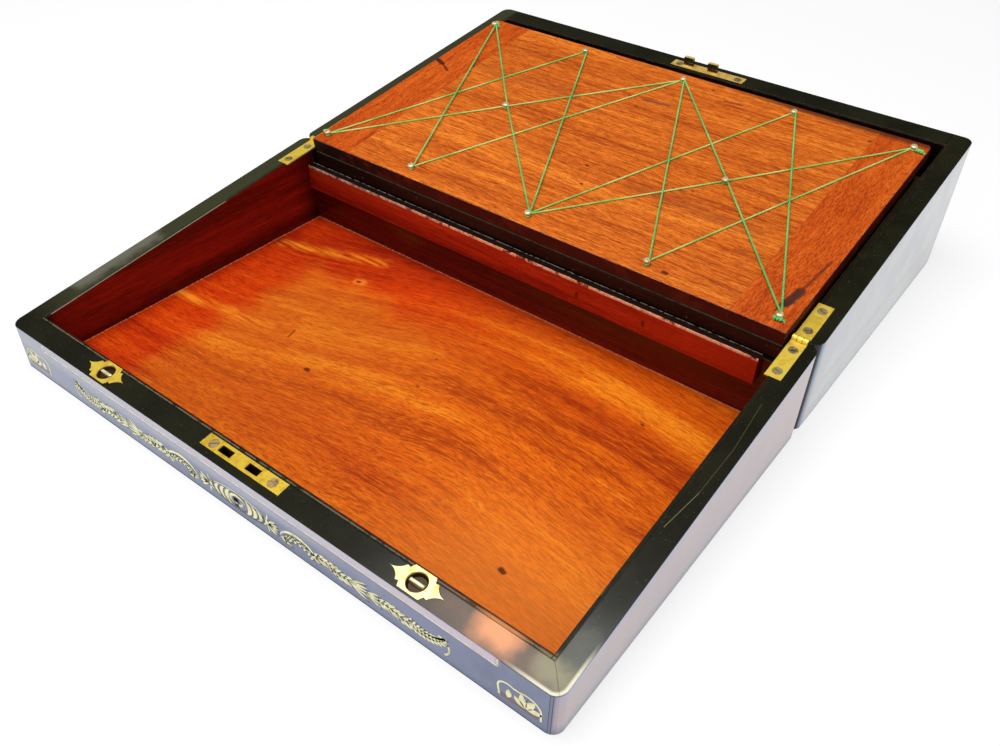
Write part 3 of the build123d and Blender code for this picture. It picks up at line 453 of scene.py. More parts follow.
lining_tones = srgb(88, 8, 3), srgb(126, 18, 6), srgb(154, 32, 10)
shadow_tones = srgb(58, 6, 3), srgb(86, 12, 5), srgb(110, 22, 9)
# The base's well: near-black tones, painted as shade.
well_shade_tones = srgb(20, 5, 2), srgb(34, 9, 4), srgb(48, 15, 7)
board_tones = srgb(172, 70, 12), srgb(216, 104, 26), srgb(246, 138, 42)
cleat_tones = srgb(170, 58, 8), srgb(202, 82, 14), srgb(224, 104, 26)


def ebonised(tree):
    """Colour, roughness and height of black polish: olive-black, with a painted pale reflection on its upright outer
    faces where they are seen aslant.
    """
    cloud = tree.cloud(26, 4.0, 0.6)
    fine = tree.cloud(420, 3.0, 0.7)
    body = tree.mix(tree.ramp(cloud, 0.30, 0.70), srgb(18, 18, 6), srgb(30, 29, 11))
    # Painted reflection tones: blue-grey for the near and far faces, pinkish to lavender for the lid's sides, pale grey
    # for the base's sides.
    near = tree.mix(tree.ramp(cloud, 0.35, 0.65), srgb(108, 116, 148), srgb(124, 132, 164))
    high = tree.ramp(tree.level, -9 * mm, -1 * mm)
    low = tree.ramp(tree.z, 9 * mm, 1 * mm)
    side = tree.mix(high, srgb(200, 182, 184), srgb(186, 186, 212))
    side = tree.mix(low, side, srgb(158, 152, 172))
    far_side_reflection = tree.mix(high, srgb(214, 219, 223), srgb(212, 219, 230))
    far_side_reflection = tree.mix(tree.times(tree.line(tree.z, 24 * mm, 12 * mm, 3 * mm, 40), 0.5), far_side_reflection, srgb(214, 206, 192))
    side = tree.mix(tree.ramp(tree.y, -0.02, 0.03), side, far_side_reflection)
    side = tree.mix(tree.times(tree.ramp(cloud, 0.38, 0.62), 0.25), side, srgb(176, 166, 184))
    sideways = tree.math("ABSOLUTE", tree.node("SeparateXYZ", 0, {0: tree.normal}))
    upright = tree.ramp(tree.math("ABSOLUTE", tree.node("SeparateXYZ", 2, {0: tree.normal})), 0.70, 0.35)
    painted_reflection = tree.mix(tree.ramp(sideways, 0.35, 0.75), near, side)
    outside = tree.math("MAXIMUM", tree.ramp(tree.math("ABSOLUTE", tree.x), 0.1945, 0.1975),
                        tree.ramp(tree.math("ABSOLUTE", tree.y), 0.2380, 0.2405))
    # The painted reflection shows on upright outer faces, more strongly the more aslant they are seen.
    aslant = tree.ramp(tree.node("LayerWeight", "Facing", {"Blend": 0.5}), 0.20, 0.55)
    # A dark line in the painted reflection just below the rim's edge.
    painted_reflection = tree.mix(tree.times(tree.line(tree.level, -0.3 * mm, 1.0 * mm), 0.8), painted_reflection, srgb(20, 20, 16))
    # Painted reflection at the base's hinge end: a pale blue strip, and a dark maroon one on the rounded corner.
    past_hinge = tree.ramp(tree.y, 0.3 * mm, 0.8 * mm)
    bluish_reflection = tree.times(past_hinge, tree.ramp(tree.y, 13 * mm, 5 * mm), 0.75)
    painted_reflection = tree.mix(bluish_reflection, painted_reflection, srgb(124, 152, 184))
    painted_reflection = tree.mix(tree.times(past_hinge, tree.ramp(tree.y, 4.6 * mm, 3.0 * mm), 0.92), painted_reflection, srgb(58, 30, 40))
    color = tree.mix(tree.times(upright, tree.rest(tree.up), outside, aslant), body, painted_reflection)
    speck = tree.ramp(tree.cloud(900, 1.0), 0.70, 0.78)
    color = tree.mix(tree.times(speck, 0.3), color, srgb(120, 116, 96))
    return color, tree.between(cloud, 0.12, 0.24), tree.times(fine, 0.5)


def rim_wear_and_reflections(tree, color):
    """The rim's rubbed right near corner, where the polish has gone thin and brown, with painted glare, a painted warm
    reflection and a painted highlight along its outer edge; a painted highlight along the left rim's inner edge, and
    its scratches.
    """
    corner = on_rim(0.198, -0.244)
    # Start, end, radius, tone, share. The first three are the right near corner's brown and grey tones, partly wear of
    # thin polish and partly painted glare; the fourth is a painted warm reflection; the sixth is a painted highlight
    # along the left rim's inner edge; the last four are scratches.
    rubs = (
        (on_rim(0.138, -0.240), corner, 16 * mm, (104, 66, 28), 0.70),
        (corner, on_rim(0.197, -0.220), 10 * mm, (76, 80, 56), 0.50),
        (on_rim(0.191, -0.239), on_rim(0.196, -0.240), 11 * mm, (148, 140, 100), 0.75),
        (on_rim(0.1600, -0.2385), on_rim(0.1655, -0.2395), 14.0 * mm, (238, 150, 84), 0.95),
        (on_rim(-0.2005, -0.2000), on_rim(-0.1995, -0.1450), 10.0 * mm, (124, 122, 108), 0.60),
        (on_rim(-0.1893, -0.2290), on_rim(-0.1893, -0.0900), 0.7 * mm, (170, 166, 142), 0.75),
        (on_rim(0.1933, -0.1505), on_rim(0.1969, -0.1242), 0.35 * mm, (128, 118, 78), 0.8),
        (on_rim(0.1882, -0.1780), on_rim(0.1893, -0.1977), 0.3 * mm, (128, 118, 78), 0.7),
        (on_rim(0.1969, -0.1242), on_rim(0.1978, -0.0908), 0.3 * mm, (96, 88, 60), 0.6),
        (on_rim(0.1978, -0.0908), on_rim(0.1953, -0.0552), 0.3 * mm, (96, 88, 60), 0.6),
    )
    # Painted highlight along the outer edge round the right near corner.
    out_x = tree.math("MAXIMUM", tree.math("SUBTRACT", tree.x, half_width - case_corner), 0.0)
    out_y = tree.math("MAXIMUM", tree.math("SUBTRACT", -half_depth + case_corner, tree.y), 0.0)
    reach = tree.math("SQRT", tree.math("ADD", tree.times(out_x, out_x), tree.times(out_y, out_y)))
    arris = tree.times(tree.ramp(reach, 4.2 * mm, 5.6 * mm), tree.up, tree.streak(corner, corner, 30 * mm, 0.1, 0.2))
    left = tree.times(tree.ramp(tree.x, -0.188, -0.192), tree.ramp(tree.y, -0.240, -0.190), tree.up)
    color = tree.mix(tree.times(left, 0.6), color, srgb(72, 72, 50))
    for start, end, radius, tone, share in rubs:
        rubbed = tree.times(tree.streak(start, end, radius, 0.5, 0.1), tree.up, share)
        color = tree.mix(rubbed, color, srgb(*tone))
    return tree.mix(tree.times(arris, 0.85), color, srgb(240, 234, 204))


def case_wood(name):
    """Black polish on the outside of the case, with its painted pale reflection on upright faces, and the rim rubbed
    thin at its right near corner, with painted glare and highlights there.
    """
    tree = Tree(name)
    color, roughness, height = ebonised(tree)
    color = joint_lines(tree, rim_wear_and_reflections(tree, color), srgb(8, 8, 4), 0.8)
    return tree.finish(color, roughness, height, 0.015 * mm, 0.6 * mm, ior=1.4)


def hinge_wall_wood(name, inward):
    """A wall at the hinge line: black outside, mahogany on the face towards the compartment, with painted shade towards
    its top, under the rail.
    """
    tree = Tree(name)
    color, roughness, height = ebonised(tree)
    inner, _, _ = mahogany(tree, *shadow_tones, fleck=0.3)
    # Painted shade under the rail.
    shade_under_rail = tree.ramp(tree.z, 12 * mm, 36 * mm)
    inner = tree.mix(tree.times(shade_under_rail, 0.6), inner, srgb(120, 80, 80), "MULTIPLY")
    inside = tree.ramp(tree.dot(tree.normal, (0, inward, 0)), 0.5, 0.8)
    color = tree.mix(inside, color, inner)
    return tree.finish(color, roughness, height, 0.03 * mm, 0.6 * mm, ior=1.4)


# ======== Metal, leather, felt and string ========


def metal(name, bright, dull, roughness=(0.28, 0.45), metallic=0.45, painted_hook_shade=None, sunk=None):
    """Old metal: brushed, blotched, and darker along its edges and in its recesses."""
    tree = Tree(name)
    blotch = tree.cloud(190, 4.0, 0.65)
    brushed = tree.noise(tree.vector("MULTIPLY", tree.place, (300, 2600, 2600)), 2.0, 0.6)
    color = tree.mix(tree.ramp(blotch, 0.42, 0.68), bright, dull)
    color = tree.mix(tree.times(tree.ramp(brushed, 0.50, 0.75), 0.25), color, dull)
    # For the link plate's hooks: painted shade over their raised parts and a painted highlight on their tops.
    if painted_hook_shade:
        color = tree.mix(tree.ramp(tree.level, 0.5 * mm, 1.2 * mm), color, painted_hook_shade)
        painted_top_highlight = tree.times(tree.ramp(tree.level, 6.2 * mm, 6.9 * mm), tree.up)
        color = tree.mix(painted_top_highlight, color, bright)
    if sunk:
        color = tree.mix(tree.ramp(tree.level, -0.35 * mm, -1.0 * mm), color, sunk)
    color = tree.mix(tree.times(tree.edges(0.3 * mm), 0.7), color, darker(dull, 0.2))
    rough = tree.between(blotch, *roughness)
    height = tree.math("ADD", tree.times(brushed, 0.4), tree.times(blotch, 0.6))
    return tree.finish(color, rough, height, 0.03 * mm, 0.15 * mm, metallic=metallic)


def leather():
    """Dark writing leather with a fine grain, scuffed to buff along its edges."""
    tree = Tree("writing_leather")
    pebble = tree.node("TexVoronoi", 0, {"Vector": tree.place, "Scale": 1500.0})
    scuff = tree.cloud(24, 6.0, 0.72)
    color = tree.mix(tree.ramp(scuff, 0.30, 0.75), srgb(40, 54, 38), srgb(66, 76, 52))
    rubs = tree.noise(tree.grain_place(tree.place, 26, 190, 0), 4.0, 0.7)
    color = tree.mix(tree.times(tree.ramp(rubs, 0.60, 0.74), 0.5), color, srgb(104, 104, 72))
    color = tree.mix(tree.ramp(pebble, 0.30, 0.0), color, srgb(24, 32, 22))
    edge = tree.times(tree.rest(tree.math("ABSOLUTE", tree.dot(tree.normal, rim_normal))), tree.patches(260, 0.40, 0.55))
    color = tree.mix(edge, color, srgb(150, 134, 92))
    return tree.finish(color, tree.between(scuff, 0.45, 0.65), pebble, 0.12 * mm)


def felt():
    """Green baize under the base."""
    tree = Tree("green_baize")
    fuzz = tree.cloud(1800, 3.0, 0.8)
    worn = tree.cloud(30, 3.0)
    color = tree.mix(tree.ramp(worn, 0.40, 0.65), srgb(34, 66, 44), srgb(62, 88, 60))
    color = tree.mix(tree.ramp(fuzz, 0.45, 0.70), color, srgb(88, 116, 84))
    return tree.finish(color, 0.95, fuzz, 0.4 * mm, sheen_weight=0.4, sheen_roughness=0.5)


def string_finish(name, bright, pale):
    """Cotton string dyed green, faded in stretches, with fibres along its strands."""
    tree = Tree(name)
    faded = tree.cloud(34, 3.0, 0.6)
    fibre = tree.cloud(4200, 2.0, 0.7)
    color = tree.mix(tree.ramp(faded, 0.35, 0.65), bright, pale)
    color = tree.mix(tree.times(tree.ramp(fibre, 0.50, 0.72), 0.4), color, darker(bright, 0.4))
    return tree.finish(color, 0.85, fibre, 0.1 * mm, sheen_weight=0.2)


brass_bright, brass_dull = srgb(240, 204, 62), srgb(204, 160, 38)
recess_brown = srgb(58, 38, 12)
leaf_brass = metal("leaf_brass", srgb(255, 222, 84), srgb(232, 190, 60), sunk=recess_brown)
brass = metal("rim_brass", brass_bright, brass_dull, sunk=recess_brown)
# A paler copy of the brass for the right book rest's plate: a painted reflection.
brass_painted_glare = metal("brass_painted_glare", srgb(255, 240, 176), srgb(226, 196, 104), sunk=recess_brown)
hooked_brass = metal("hook_brass", srgb(255, 216, 116), srgb(228, 178, 88), painted_hook_shade=srgb(70, 50, 22))
pin_brass = metal("tack_brass", srgb(255, 236, 190), srgb(206, 156, 100), (0.22, 0.36), 0.55)
dark_brass = metal("lock_works_brass", srgb(96, 62, 28), srgb(44, 26, 14), (0.4, 0.6))
blade_brass = metal("blade_brass", srgb(255, 244, 204), srgb(226, 196, 130))
screw_metal = metal("screw_steel", srgb(190, 168, 124), srgb(92, 70, 44), (0.3, 0.5), 0.6)
lock_screw_metal = metal("lock_screw_steel", srgb(206, 176, 126), srgb(108, 76, 46), (0.28, 0.45), 0.6)
steel = metal("lock_steel", srgb(150, 148, 142), srgb(84, 78, 70), (0.3, 0.5), 0.9)
case_black = case_wood("ebonised_case")
lining_along = inner_wood("lining_along", lining_tones, 1, 0.35)
lining_across = inner_wood("lining_across", lining_tones, 0, 0.35)
well_shaded_wood = inner_wood("well_shaded_wood", well_shade_tones, 0, 0.4)
well_shaded_wood_along = inner_wood("well_shaded_wood_along", well_shade_tones, 1, 0.4)
rail = rail_wood()
hidden_wood = inner_wood("hidden_wood", shadow_tones, 0, 0.0, dark_top=False)
far_board_wood = shaded_dirty_wood("far_flap_mahogany")
board_across = board_wood("flap_board_mahogany", 0, board_tones)
cleat_along = board_wood("flap_cleat_mahogany", 1, cleat_tones)

finishes = {
    "ebonised_wood": case_black,
    "mahogany": hidden_wood,
    "brass": brass,
    "steel": steel,
    "leather": leather(),
    "string": string_finish("string_green", srgb(58, 198, 100), srgb(112, 222, 122)),
    "felt": felt(),
}
own_finishes = {
    "lid_top_board": floor_wood(),
    "lid_hinge_wall": hinge_wall_wood("lid_hinge_wall_wood", -1),
    "base_hinge_wall": hinge_wall_wood("base_hinge_wall_wood", 1),
    "lid_left_lining": lining_along,
    "lid_right_lining": lining_along,
    "lid_near_lining": lining_across,
    "lid_hinge_rail": rail,
    "lid_near_ledge": hidden_wood,
    "base_left_lining": well_shaded_wood_along,
    "base_right_lining": well_shaded_wood_along,
    "base_far_lining": well_shaded_wood,
    "base_left_cheek": well_shaded_wood_along,
    "base_right_cheek": well_shaded_wood_along,
    "left_divider": well_shaded_wood_along,
    "middle_divider": well_shaded_wood_along,
    "right_divider": well_shaded_wood_along,
    "pen_wall": well_shaded_wood,
    "pen_tray": well_shaded_wood,
    "near_board": board_across,
    "left_cleat": cleat_along,
    "right_cleat": cleat_along,
    "far_board": far_board_wood,
    "far_cleats": far_board_wood,
    "link_plate": hooked_brass,
    "left_rest_plate": leaf_brass,
    "left_lid_leaf": leaf_brass,
    "right_lid_leaf": leaf_brass,
    "left_base_leaf": leaf_brass,
    "right_base_leaf": leaf_brass,
    "right_rest_plate": brass_painted_glare,
    "tacks": pin_brass,
    "lock_bolt": dark_brass,
    "lock_case": dark_brass,
    "left_rest_blade": blade_brass,
    "right_rest_blade": blade_brass,
    "lock_screws": lock_screw_metal,
    "link_screws": screw_metal,
    "lid_hinge_screws": screw_metal,
    "base_hinge_screws": screw_metal,
}


def dress_nodes():
    """Gives every CAD node its finish."""
    for part in frame["record"]["subparts"]:
        slots = nodes[part["node"]].data.materials
        slots.clear()
        slots.append(own_finishes.get(part["node"], finishes[part["material_slot"]]))


# ======== Pieces made here ========


def new_piece(name, bm, body, slot, *materials):
    """Makes an object of a finished bmesh, and rides it on its body."""
    bmesh.ops.recalc_face_normals(bm, faces=bm.faces)
    mesh = bpy.data.meshes.new(name)
    bm.to_mesh(mesh)
    bm.free()
    for material in materials:
        mesh.materials.append(material)
    piece = bpy.data.objects.new(name, mesh)
    scene.collection.objects.link(piece)
    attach(piece, body)
    return piece


# ---- Leather, cloth and baize: thin sheets with rolled edges that lie a little uneven ----
roll_steps = (0.0, 0.12 * mm, 0.3 * mm)
roll_shares = (0.35, 0.80, 1.0)
sheet_pitch = 5.0 * mm


def sheet_line(low, high):
    """Places across a sheet from edge to edge, with how full the sheet is at each of them."""
    inner_low, inner_high = low + roll_steps[-1], high - roll_steps[-1]
    count = max(2, round((inner_high - inner_low) / sheet_pitch))
    inner = [(inner_low + (inner_high - inner_low) * step / count, 1.0) for step in range(1, count)]
    rising = [(low + step, share) for step, share in zip(roll_steps, roll_shares)]
    falling = [(high - step, share) for step, share in zip(roll_steps, roll_shares)]
    return rising + inner + falling[::-1]


def round_corner(u, v, low, high, corner):
    """The place (u, v), drawn in to the round corner where it lies outside it."""
    inner_u = min(max(u, low[0] + corner), high[0] - corner)
    inner_v = min(max(v, low[1] + corner), high[1] - corner)
    reach = math.hypot(u - inner_u, v - inner_v)
    share = min(1.0, corner / reach) if reach else 1.0
    return inner_u + (u - inner_u) * share, inner_v + (v - inner_v) * share


def lay_sheet(name, node, body, slot, material, axes, corner=0.5 * mm):
    """A sheet in the place of a CAD node, with round corners: its two faces dip a little where it lies uneven."""
    places = [[vertex.co.dot(axis) for axis in axes] for vertex in nodes[node].data.vertices]
    low, high = ([pick(place[axis] for place in places) for axis in range(3)] for pick in (min, max))
    across, along = sheet_line(low[0], high[0]), sheet_line(low[1], high[1])
    middle, half = (low[2] + high[2]) / 2, (high[2] - low[2]) / 2
    bm = bmesh.new()
    faces = []
    for face in (1, -1):
        rows = []
        for u, full_u in across:
            row = []
            for v, full_v in along:
                dip = 0.06 + 0.06 * noise.noise(Vector((u, v, face)) * 55)
                level = middle + face * half * (min(full_u, full_v) - dip)
                flat_u, flat_v = round_corner(u, v, low, high, corner)
                row.append(bm.verts.new(axes[0] * flat_u + axes[1] * flat_v + axes[2] * level))
            rows.append(row)
        faces.append(rows)
        for first, second in zip(rows, rows[1:]):
            for index in range(len(along) - 1):
                made = bm.faces.new((first[index], first[index + 1], second[index + 1], second[index]))
                made.smooth = True
    rims = []
    for rows in faces:
        rims.append(rows[0] + [row[-1] for row in rows[1:]] + rows[-1][-2::-1] + [row[0] for row in rows[-2:0:-1]])
    for index, corner in enumerate(rims[0]):
        following = (index + 1) % len(rims[0])
        bm.faces.new((corner, rims[0][following], rims[1][following], rims[1][index])).smooth = True
    piece = new_piece(name, bm, body, slot, material)
    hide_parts(node)


def lay_soft_sheets():
    """The writing leather of both flaps, the strip between them, and the baize under the base."""
    slope_axes = (rim_across, rim_upward, rim_normal)
    plain_axes = (Vector((1, 0, 0)), Vector((0, 1, 0)), Vector((0, 0, 1)))
    writing, baize = finishes["leather"], finishes["felt"]
    lay_sheet("near_writing_leather", "near_leather", "near_flap", "leather", writing, slope_axes)
    lay_sheet("far_writing_leather", "far_leather", "far_flap", "leather", writing, slope_axes)
    lay_sheet("flap_hinge_strip", "hinge_cloth", "far_flap", "leather", writing, slope_axes)
    lay_sheet("base_baize", "base_felt", "base", "felt", baize, plain_axes, case_corner + 0.3 * mm)


# ---- The laced string of the near flap ----
board_level = 8.0 * mm
flap_half_width = 184.7 * mm
near_row_s, middle_row_s, far_row_s = 1.4 * mm, 100.75 * mm, 201.5 * mm
tack_rows = (
    ("near", near_row_s, {"a": -0.964, "b": -0.525, "c": 0.016, "d": 0.493, "e": 0.953}),
    ("middle", middle_row_s, {"f": -0.490, "g": 0.487}),
    ("far", far_row_s, {"a": -0.969, "b": -0.471, "c": 0.005, "d": 0.490, "e": 0.953}),
)
tack_places = {
    f"{row}_{name}": Vector((share * flap_half_width, row_s))
    for row, row_s, shares in tack_rows
    for name, share in shares.items()
}
rising_runs = (
    ("near_a", "far_b"),
    ("near_a", "middle_f"),
    ("middle_f", "far_c"),
    ("near_b", "far_c"),
    ("near_c", "far_d"),
    ("near_c", "middle_g"),
    ("middle_g", "far_e"),
    ("near_d", "far_e"),
)
falling_runs = (
    ("far_a", "near_b"),
    ("far_a", "middle_f"),
    ("middle_f", "near_c"),
    ("far_b", "near_c"),
    ("far_c", "near_d"),
    ("far_c", "middle_g"),
    ("middle_g", "near_e"),
    ("far_d", "near_e"),
)
loop_radius = 1.3 * mm
rising_level, falling_level = 0.7 * mm, 2.05 * mm
ply_radius, ply_offset, ply_pitch = 0.34 * mm, 0.29 * mm, 2.9 * mm
ply_sides, turn_steps = 6, 7
knot_level, knot_size, knot_radius = 1.5 * mm, 0.42 * mm, 0.5 * mm
tail_length, tail_radius = 2.6 * mm, 0.18 * mm


def add_tube(bm, path, radius, sides=6, closed=False, material=0):
    """A round tube along a path of points, with shut ends unless it is a closed ring."""
    rings = []
    count = len(path)
    side = None
    for index, point in enumerate(path):
        before = path[index - 1] if index or closed else point
        after = path[(index + 1) % count] if index < count - 1 or closed else point
        run = (after - before).normalized()
        side = rim_normal.copy() if side is None else side
        side = (side - run * side.dot(run)).normalized()
        across = run.cross(side)
        size = radius(index / (count - 1)) if callable(radius) else radius
        ring = []
        for step in range(sides):
            turn = math.tau * step / sides
            ring.append(bm.verts.new(point + (side * math.cos(turn) + across * math.sin(turn)) * size))
        rings.append(ring)
    pairs = list(zip(rings, rings[1:]))
    if closed:
        pairs.append((rings[-1], rings[0]))
    for first, second in pairs:
        for step in range(sides):
            corner = (step + 1) % sides
            face = bm.faces.new((first[step], first[corner], second[corner], second[step]))
            face.material_index = material
            face.smooth = True
    if not closed:
        for ring in (rings[0], rings[-1]):
            bm.faces.new(ring).material_index = material


def add_twisted(bm, path, closed=False, material=0):
    """Two plies laid round a path of points, as string is."""
    length = sum((b - a).length for a, b in zip(path, path[1:]))
    turns = max(1, round(length / ply_pitch))
    for ply in (0, 1):
        laid = []
        for index, point in enumerate(path):
            before = path[index - 1] if index else (path[-1] if closed else point)
            after = path[(index + 1) % len(path)] if index < len(path) - 1 or closed else point
            run = (after - before).normalized()
            side = (rim_normal - run * rim_normal.dot(run)).normalized()
            turn = math.tau * turns * index / (len(path) - (0 if closed else 1)) + ply * math.pi
            laid.append(point + (side * math.cos(turn) + run.cross(side) * math.sin(turn)) * ply_offset)
        add_tube(bm, laid, ply_radius, ply_sides, closed, material)


def run_path(first, last, level):
    """A straight run of string from one tack to another, past their left sides."""
    start, end = tack_places[first], tack_places[last]
    run = end - start
    aside = Vector((-run.y, run.x)).normalized() * loop_radius
    steps = round(run.length / ply_pitch) * turn_steps
    places = [start + aside + run * step / steps for step in range(steps + 1)]
    return [on_rim(place.x, place.y, board_level + level) for place in places]


def loop_path(name, level):
    """One turn of string round a tack's shank."""
    centre = tack_places[name]
    steps = 4 * turn_steps
    turns = [math.tau * step / steps for step in range(steps)]
    places = [centre + Vector((math.cos(turn), math.sin(turn))) * loop_radius for turn in turns]
    return [on_rim(place.x, place.y, board_level + level) for place in places]


def add_knot(bm, name, offset, lie, seed, material):
    """Pulled knots beside a corner tack, lying along one direction, with frayed tails."""
    centre = tack_places[name] + Vector(offset) * mm
    lie = Vector(lie).normalized()
    along = rim_across * lie.x + rim_upward * lie.y
    across = rim_normal.cross(along)
    draw = random.Random(seed)
    steps = 48
    for lump in (-1, 0, 1):
        middle = on_rim(centre.x, centre.y, board_level + knot_level) + along * (lump * 1.7 * mm)
        path = []
        for step in range(steps):
            turn = math.tau * step / steps + lump
            reach = along * (math.sin(turn) + 2 * math.sin(2 * turn)) * 0.62
            swing = across * (math.cos(turn) - 2 * math.cos(2 * turn)) * 0.85
            path.append(middle + (reach + swing - rim_normal * math.sin(3 * turn) * 1.2) * knot_size)
        add_tube(bm, path, knot_radius, 8, True, material)
    root = on_rim(centre.x, centre.y, board_level + knot_level) + along * (2.4 * mm)
    for strand in range(9):
        spread, lift = draw.uniform(-0.6, 0.6), draw.uniform(-0.10, 0.30)
        length = tail_length * draw.uniform(0.5, 1.0)
        tail = []
        for step in range(7):
            share = step / 6
            sway = spread * share + 0.25 * math.sin(3 * share + strand)
            rise = lift * length * share * (1 - share) - knot_level * 0.6 * share
            tail.append(root + along * (length * share) + across * (length * share * sway) + rim_normal * rise)
        add_tube(bm, tail, tail_radius, 5, False, material)


def lace_string():
    """The green string between the tacks: the falling runs cross over the rising ones."""
    bm = bmesh.new()
    for runs, level, material in ((rising_runs, rising_level, 0), (falling_runs, falling_level, 1)):
        for first, last in runs:
            add_twisted(bm, run_path(first, last, level), material=material)
        for name in sorted({name for run in runs for name in run}):
            add_twisted(bm, loop_path(name, level), True, material)
    knots = (
        ("near_a", (-2.9, 0.9), (-1, 0.45), 0),
        ("far_e", (4.1, -1.2), (1, -0.12), 1),
        ("near_e", (0.2, -2.1), (1, 0.10), 1),
        ("far_a", (0.6, 3.4), (0.75, -0.65), 1),
    )
    for seed, (name, offset, lie, material) in enumerate(knots):
        add_knot(bm, name, offset, lie, seed, material)
    pale = string_finish("string_faded", srgb(120, 206, 94), srgb(204, 234, 142))
    piece = new_piece("laced_string", bm, "near_flap", "string", pale, finishes["string"])
    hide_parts("strings")


# ---- The near face and its inlay ----
face_inset = 0.1 * mm
inlay_depth = 0.25 * mm
hair = 0.02 * mm
inlay_front = -half_depth
stringing_z = 25.0 * mm
stringing_x = 171.0 * mm
stringing_width = 0.9 * mm
rim_arris_z = 29.9 * mm
scroll_z = 11.0 * mm


def near_face_finish():
    """The near wall's polish with its painted pale reflection, paler above the string line, with seams and worn feet at
    its ends.
    """
    tree = Tree("near_face_polish")
    color, roughness, height = ebonised(tree)
    color = joint_lines(tree, rim_wear_and_reflections(tree, color), srgb(8, 8, 4), 0.8)
    flat = tree.rest(tree.up)
    strip = tree.times(tree.ramp(tree.z, 24.6 * mm, 25.8 * mm), flat, tree.rest(tree.ramp(tree.math("ABSOLUTE", tree.x), 0.168, 0.173)))
    color = tree.mix(tree.times(strip, 0.9), color, srgb(218, 206, 220))
    # The painted reflection is made lighter higher up from the middle leftwards and towards the left end, and darker
    # and bluer at the foot.
    upper_reflection = tree.times(tree.ramp(tree.z, 15 * mm, 22 * mm), tree.ramp(tree.x, 0.13, 0.02), flat)
    color = tree.mix(tree.times(upper_reflection, 0.6), color, srgb(190, 192, 206))
    left = tree.times(tree.ramp(tree.x, 0.0, -0.19), flat)
    color = tree.mix(tree.times(left, 0.45), color, srgb(168, 176, 190))
    low = tree.times(tree.ramp(tree.z, 5 * mm, 0.5 * mm), flat)
    color = tree.mix(tree.times(low, 0.5), color, srgb(84, 100, 124))
    for x in (-182.5, 182.5):
        foot = tree.streak((x * mm - 9 * mm, inlay_front, 6.6 * mm), (x * mm + 9 * mm, inlay_front, 7.0 * mm), 2.0 * mm)
        color = tree.mix(tree.times(foot, 0.75), color, srgb(120, 72, 52))
    for x in (198.0, 199.4):
        seam = tree.times(tree.line(tree.x, x * mm, 0.5 * mm), flat)
        color = tree.mix(tree.times(seam, 0.75), color, srgb(28, 24, 30))
    return tree.finish(color, roughness, height, 0.015 * mm, 0.6 * mm, ior=1.4)


def recess_near_wall():
    """The near wall again, set back by a hair so that the inlay can lie flush with the CAD's face."""
    source = nodes["lid_near_wall"].data.copy()
    for vertex in source.vertices:
        vertex.co.y = max(vertex.co.y, inlay_front + face_inset)
    source.materials.clear()
    source.materials.append(near_face_finish())
    piece = bpy.data.objects.new("near_wall_veneer", source)
    scene.collection.objects.link(piece)
    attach(piece, "lid")
    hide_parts("lid_near_wall")


def add_ribbon(bm, path, width, sunk=0.0):
    """A flat strip of inlay along a path of (x, z) places, as wide as width says at each share of it."""
    count = len(path)
    rings = []
    for index, place in enumerate(path):
        before, after = path[max(index - 1, 0)], path[min(index + 1, count - 1)]
        run = (after - before).normalized()
        half = Vector((-run.y, run.x)) * max(width(index / (count - 1)), 0.03 * mm) / 2
        ring = []
        for edge, depth in ((half, sunk), (-half, sunk), (-half, inlay_depth), (half, inlay_depth)):
            at = place + edge
            ring.append(bm.verts.new((at.x, inlay_front + depth, at.y)))
        rings.append(ring)
    for first, second in zip(rings, rings[1:]):
        for corner in range(4):
            other = (corner + 1) % 4
            bm.faces.new((first[corner], first[other], second[other], second[corner]))
    bm.faces.new(rings[0])
    bm.faces.new(rings[-1])


def even(width):
    """A strip of one width."""
    return lambda share: width


def leaf_width(width):
    """A strip that swells to a width and comes to a point at both ends."""
    return lambda share: width * math.sin(math.pi * share) ** 0.8


def arc(centre, radius_x, radius_z, start, end, steps=14):
    """Places along an arc of an ellipse, with angles in degrees."""
    turns = [math.radians(start + (end - start) * step / steps) for step in range(steps + 1)]
    return [Vector((centre.x + radius_x * math.cos(t), centre.y + radius_z * math.sin(t))) for t in turns]


def bend(start, angle, length, curl, steps=10):
    """Places along a curve that sets off at an angle and turns by curl, in degrees, over its length."""
    path = [Vector(start)]
    for step in range(steps):
        heading = math.radians(angle + curl * (step + 0.5) / steps)
        path.append(path[-1] + Vector((math.cos(heading), math.sin(heading))) * length / steps)
    return path


def mirrored(path, side):
    """The path as it is, or mirrored across the middle of the case."""
    return [Vector((place.x * side, place.y)) for place in path]


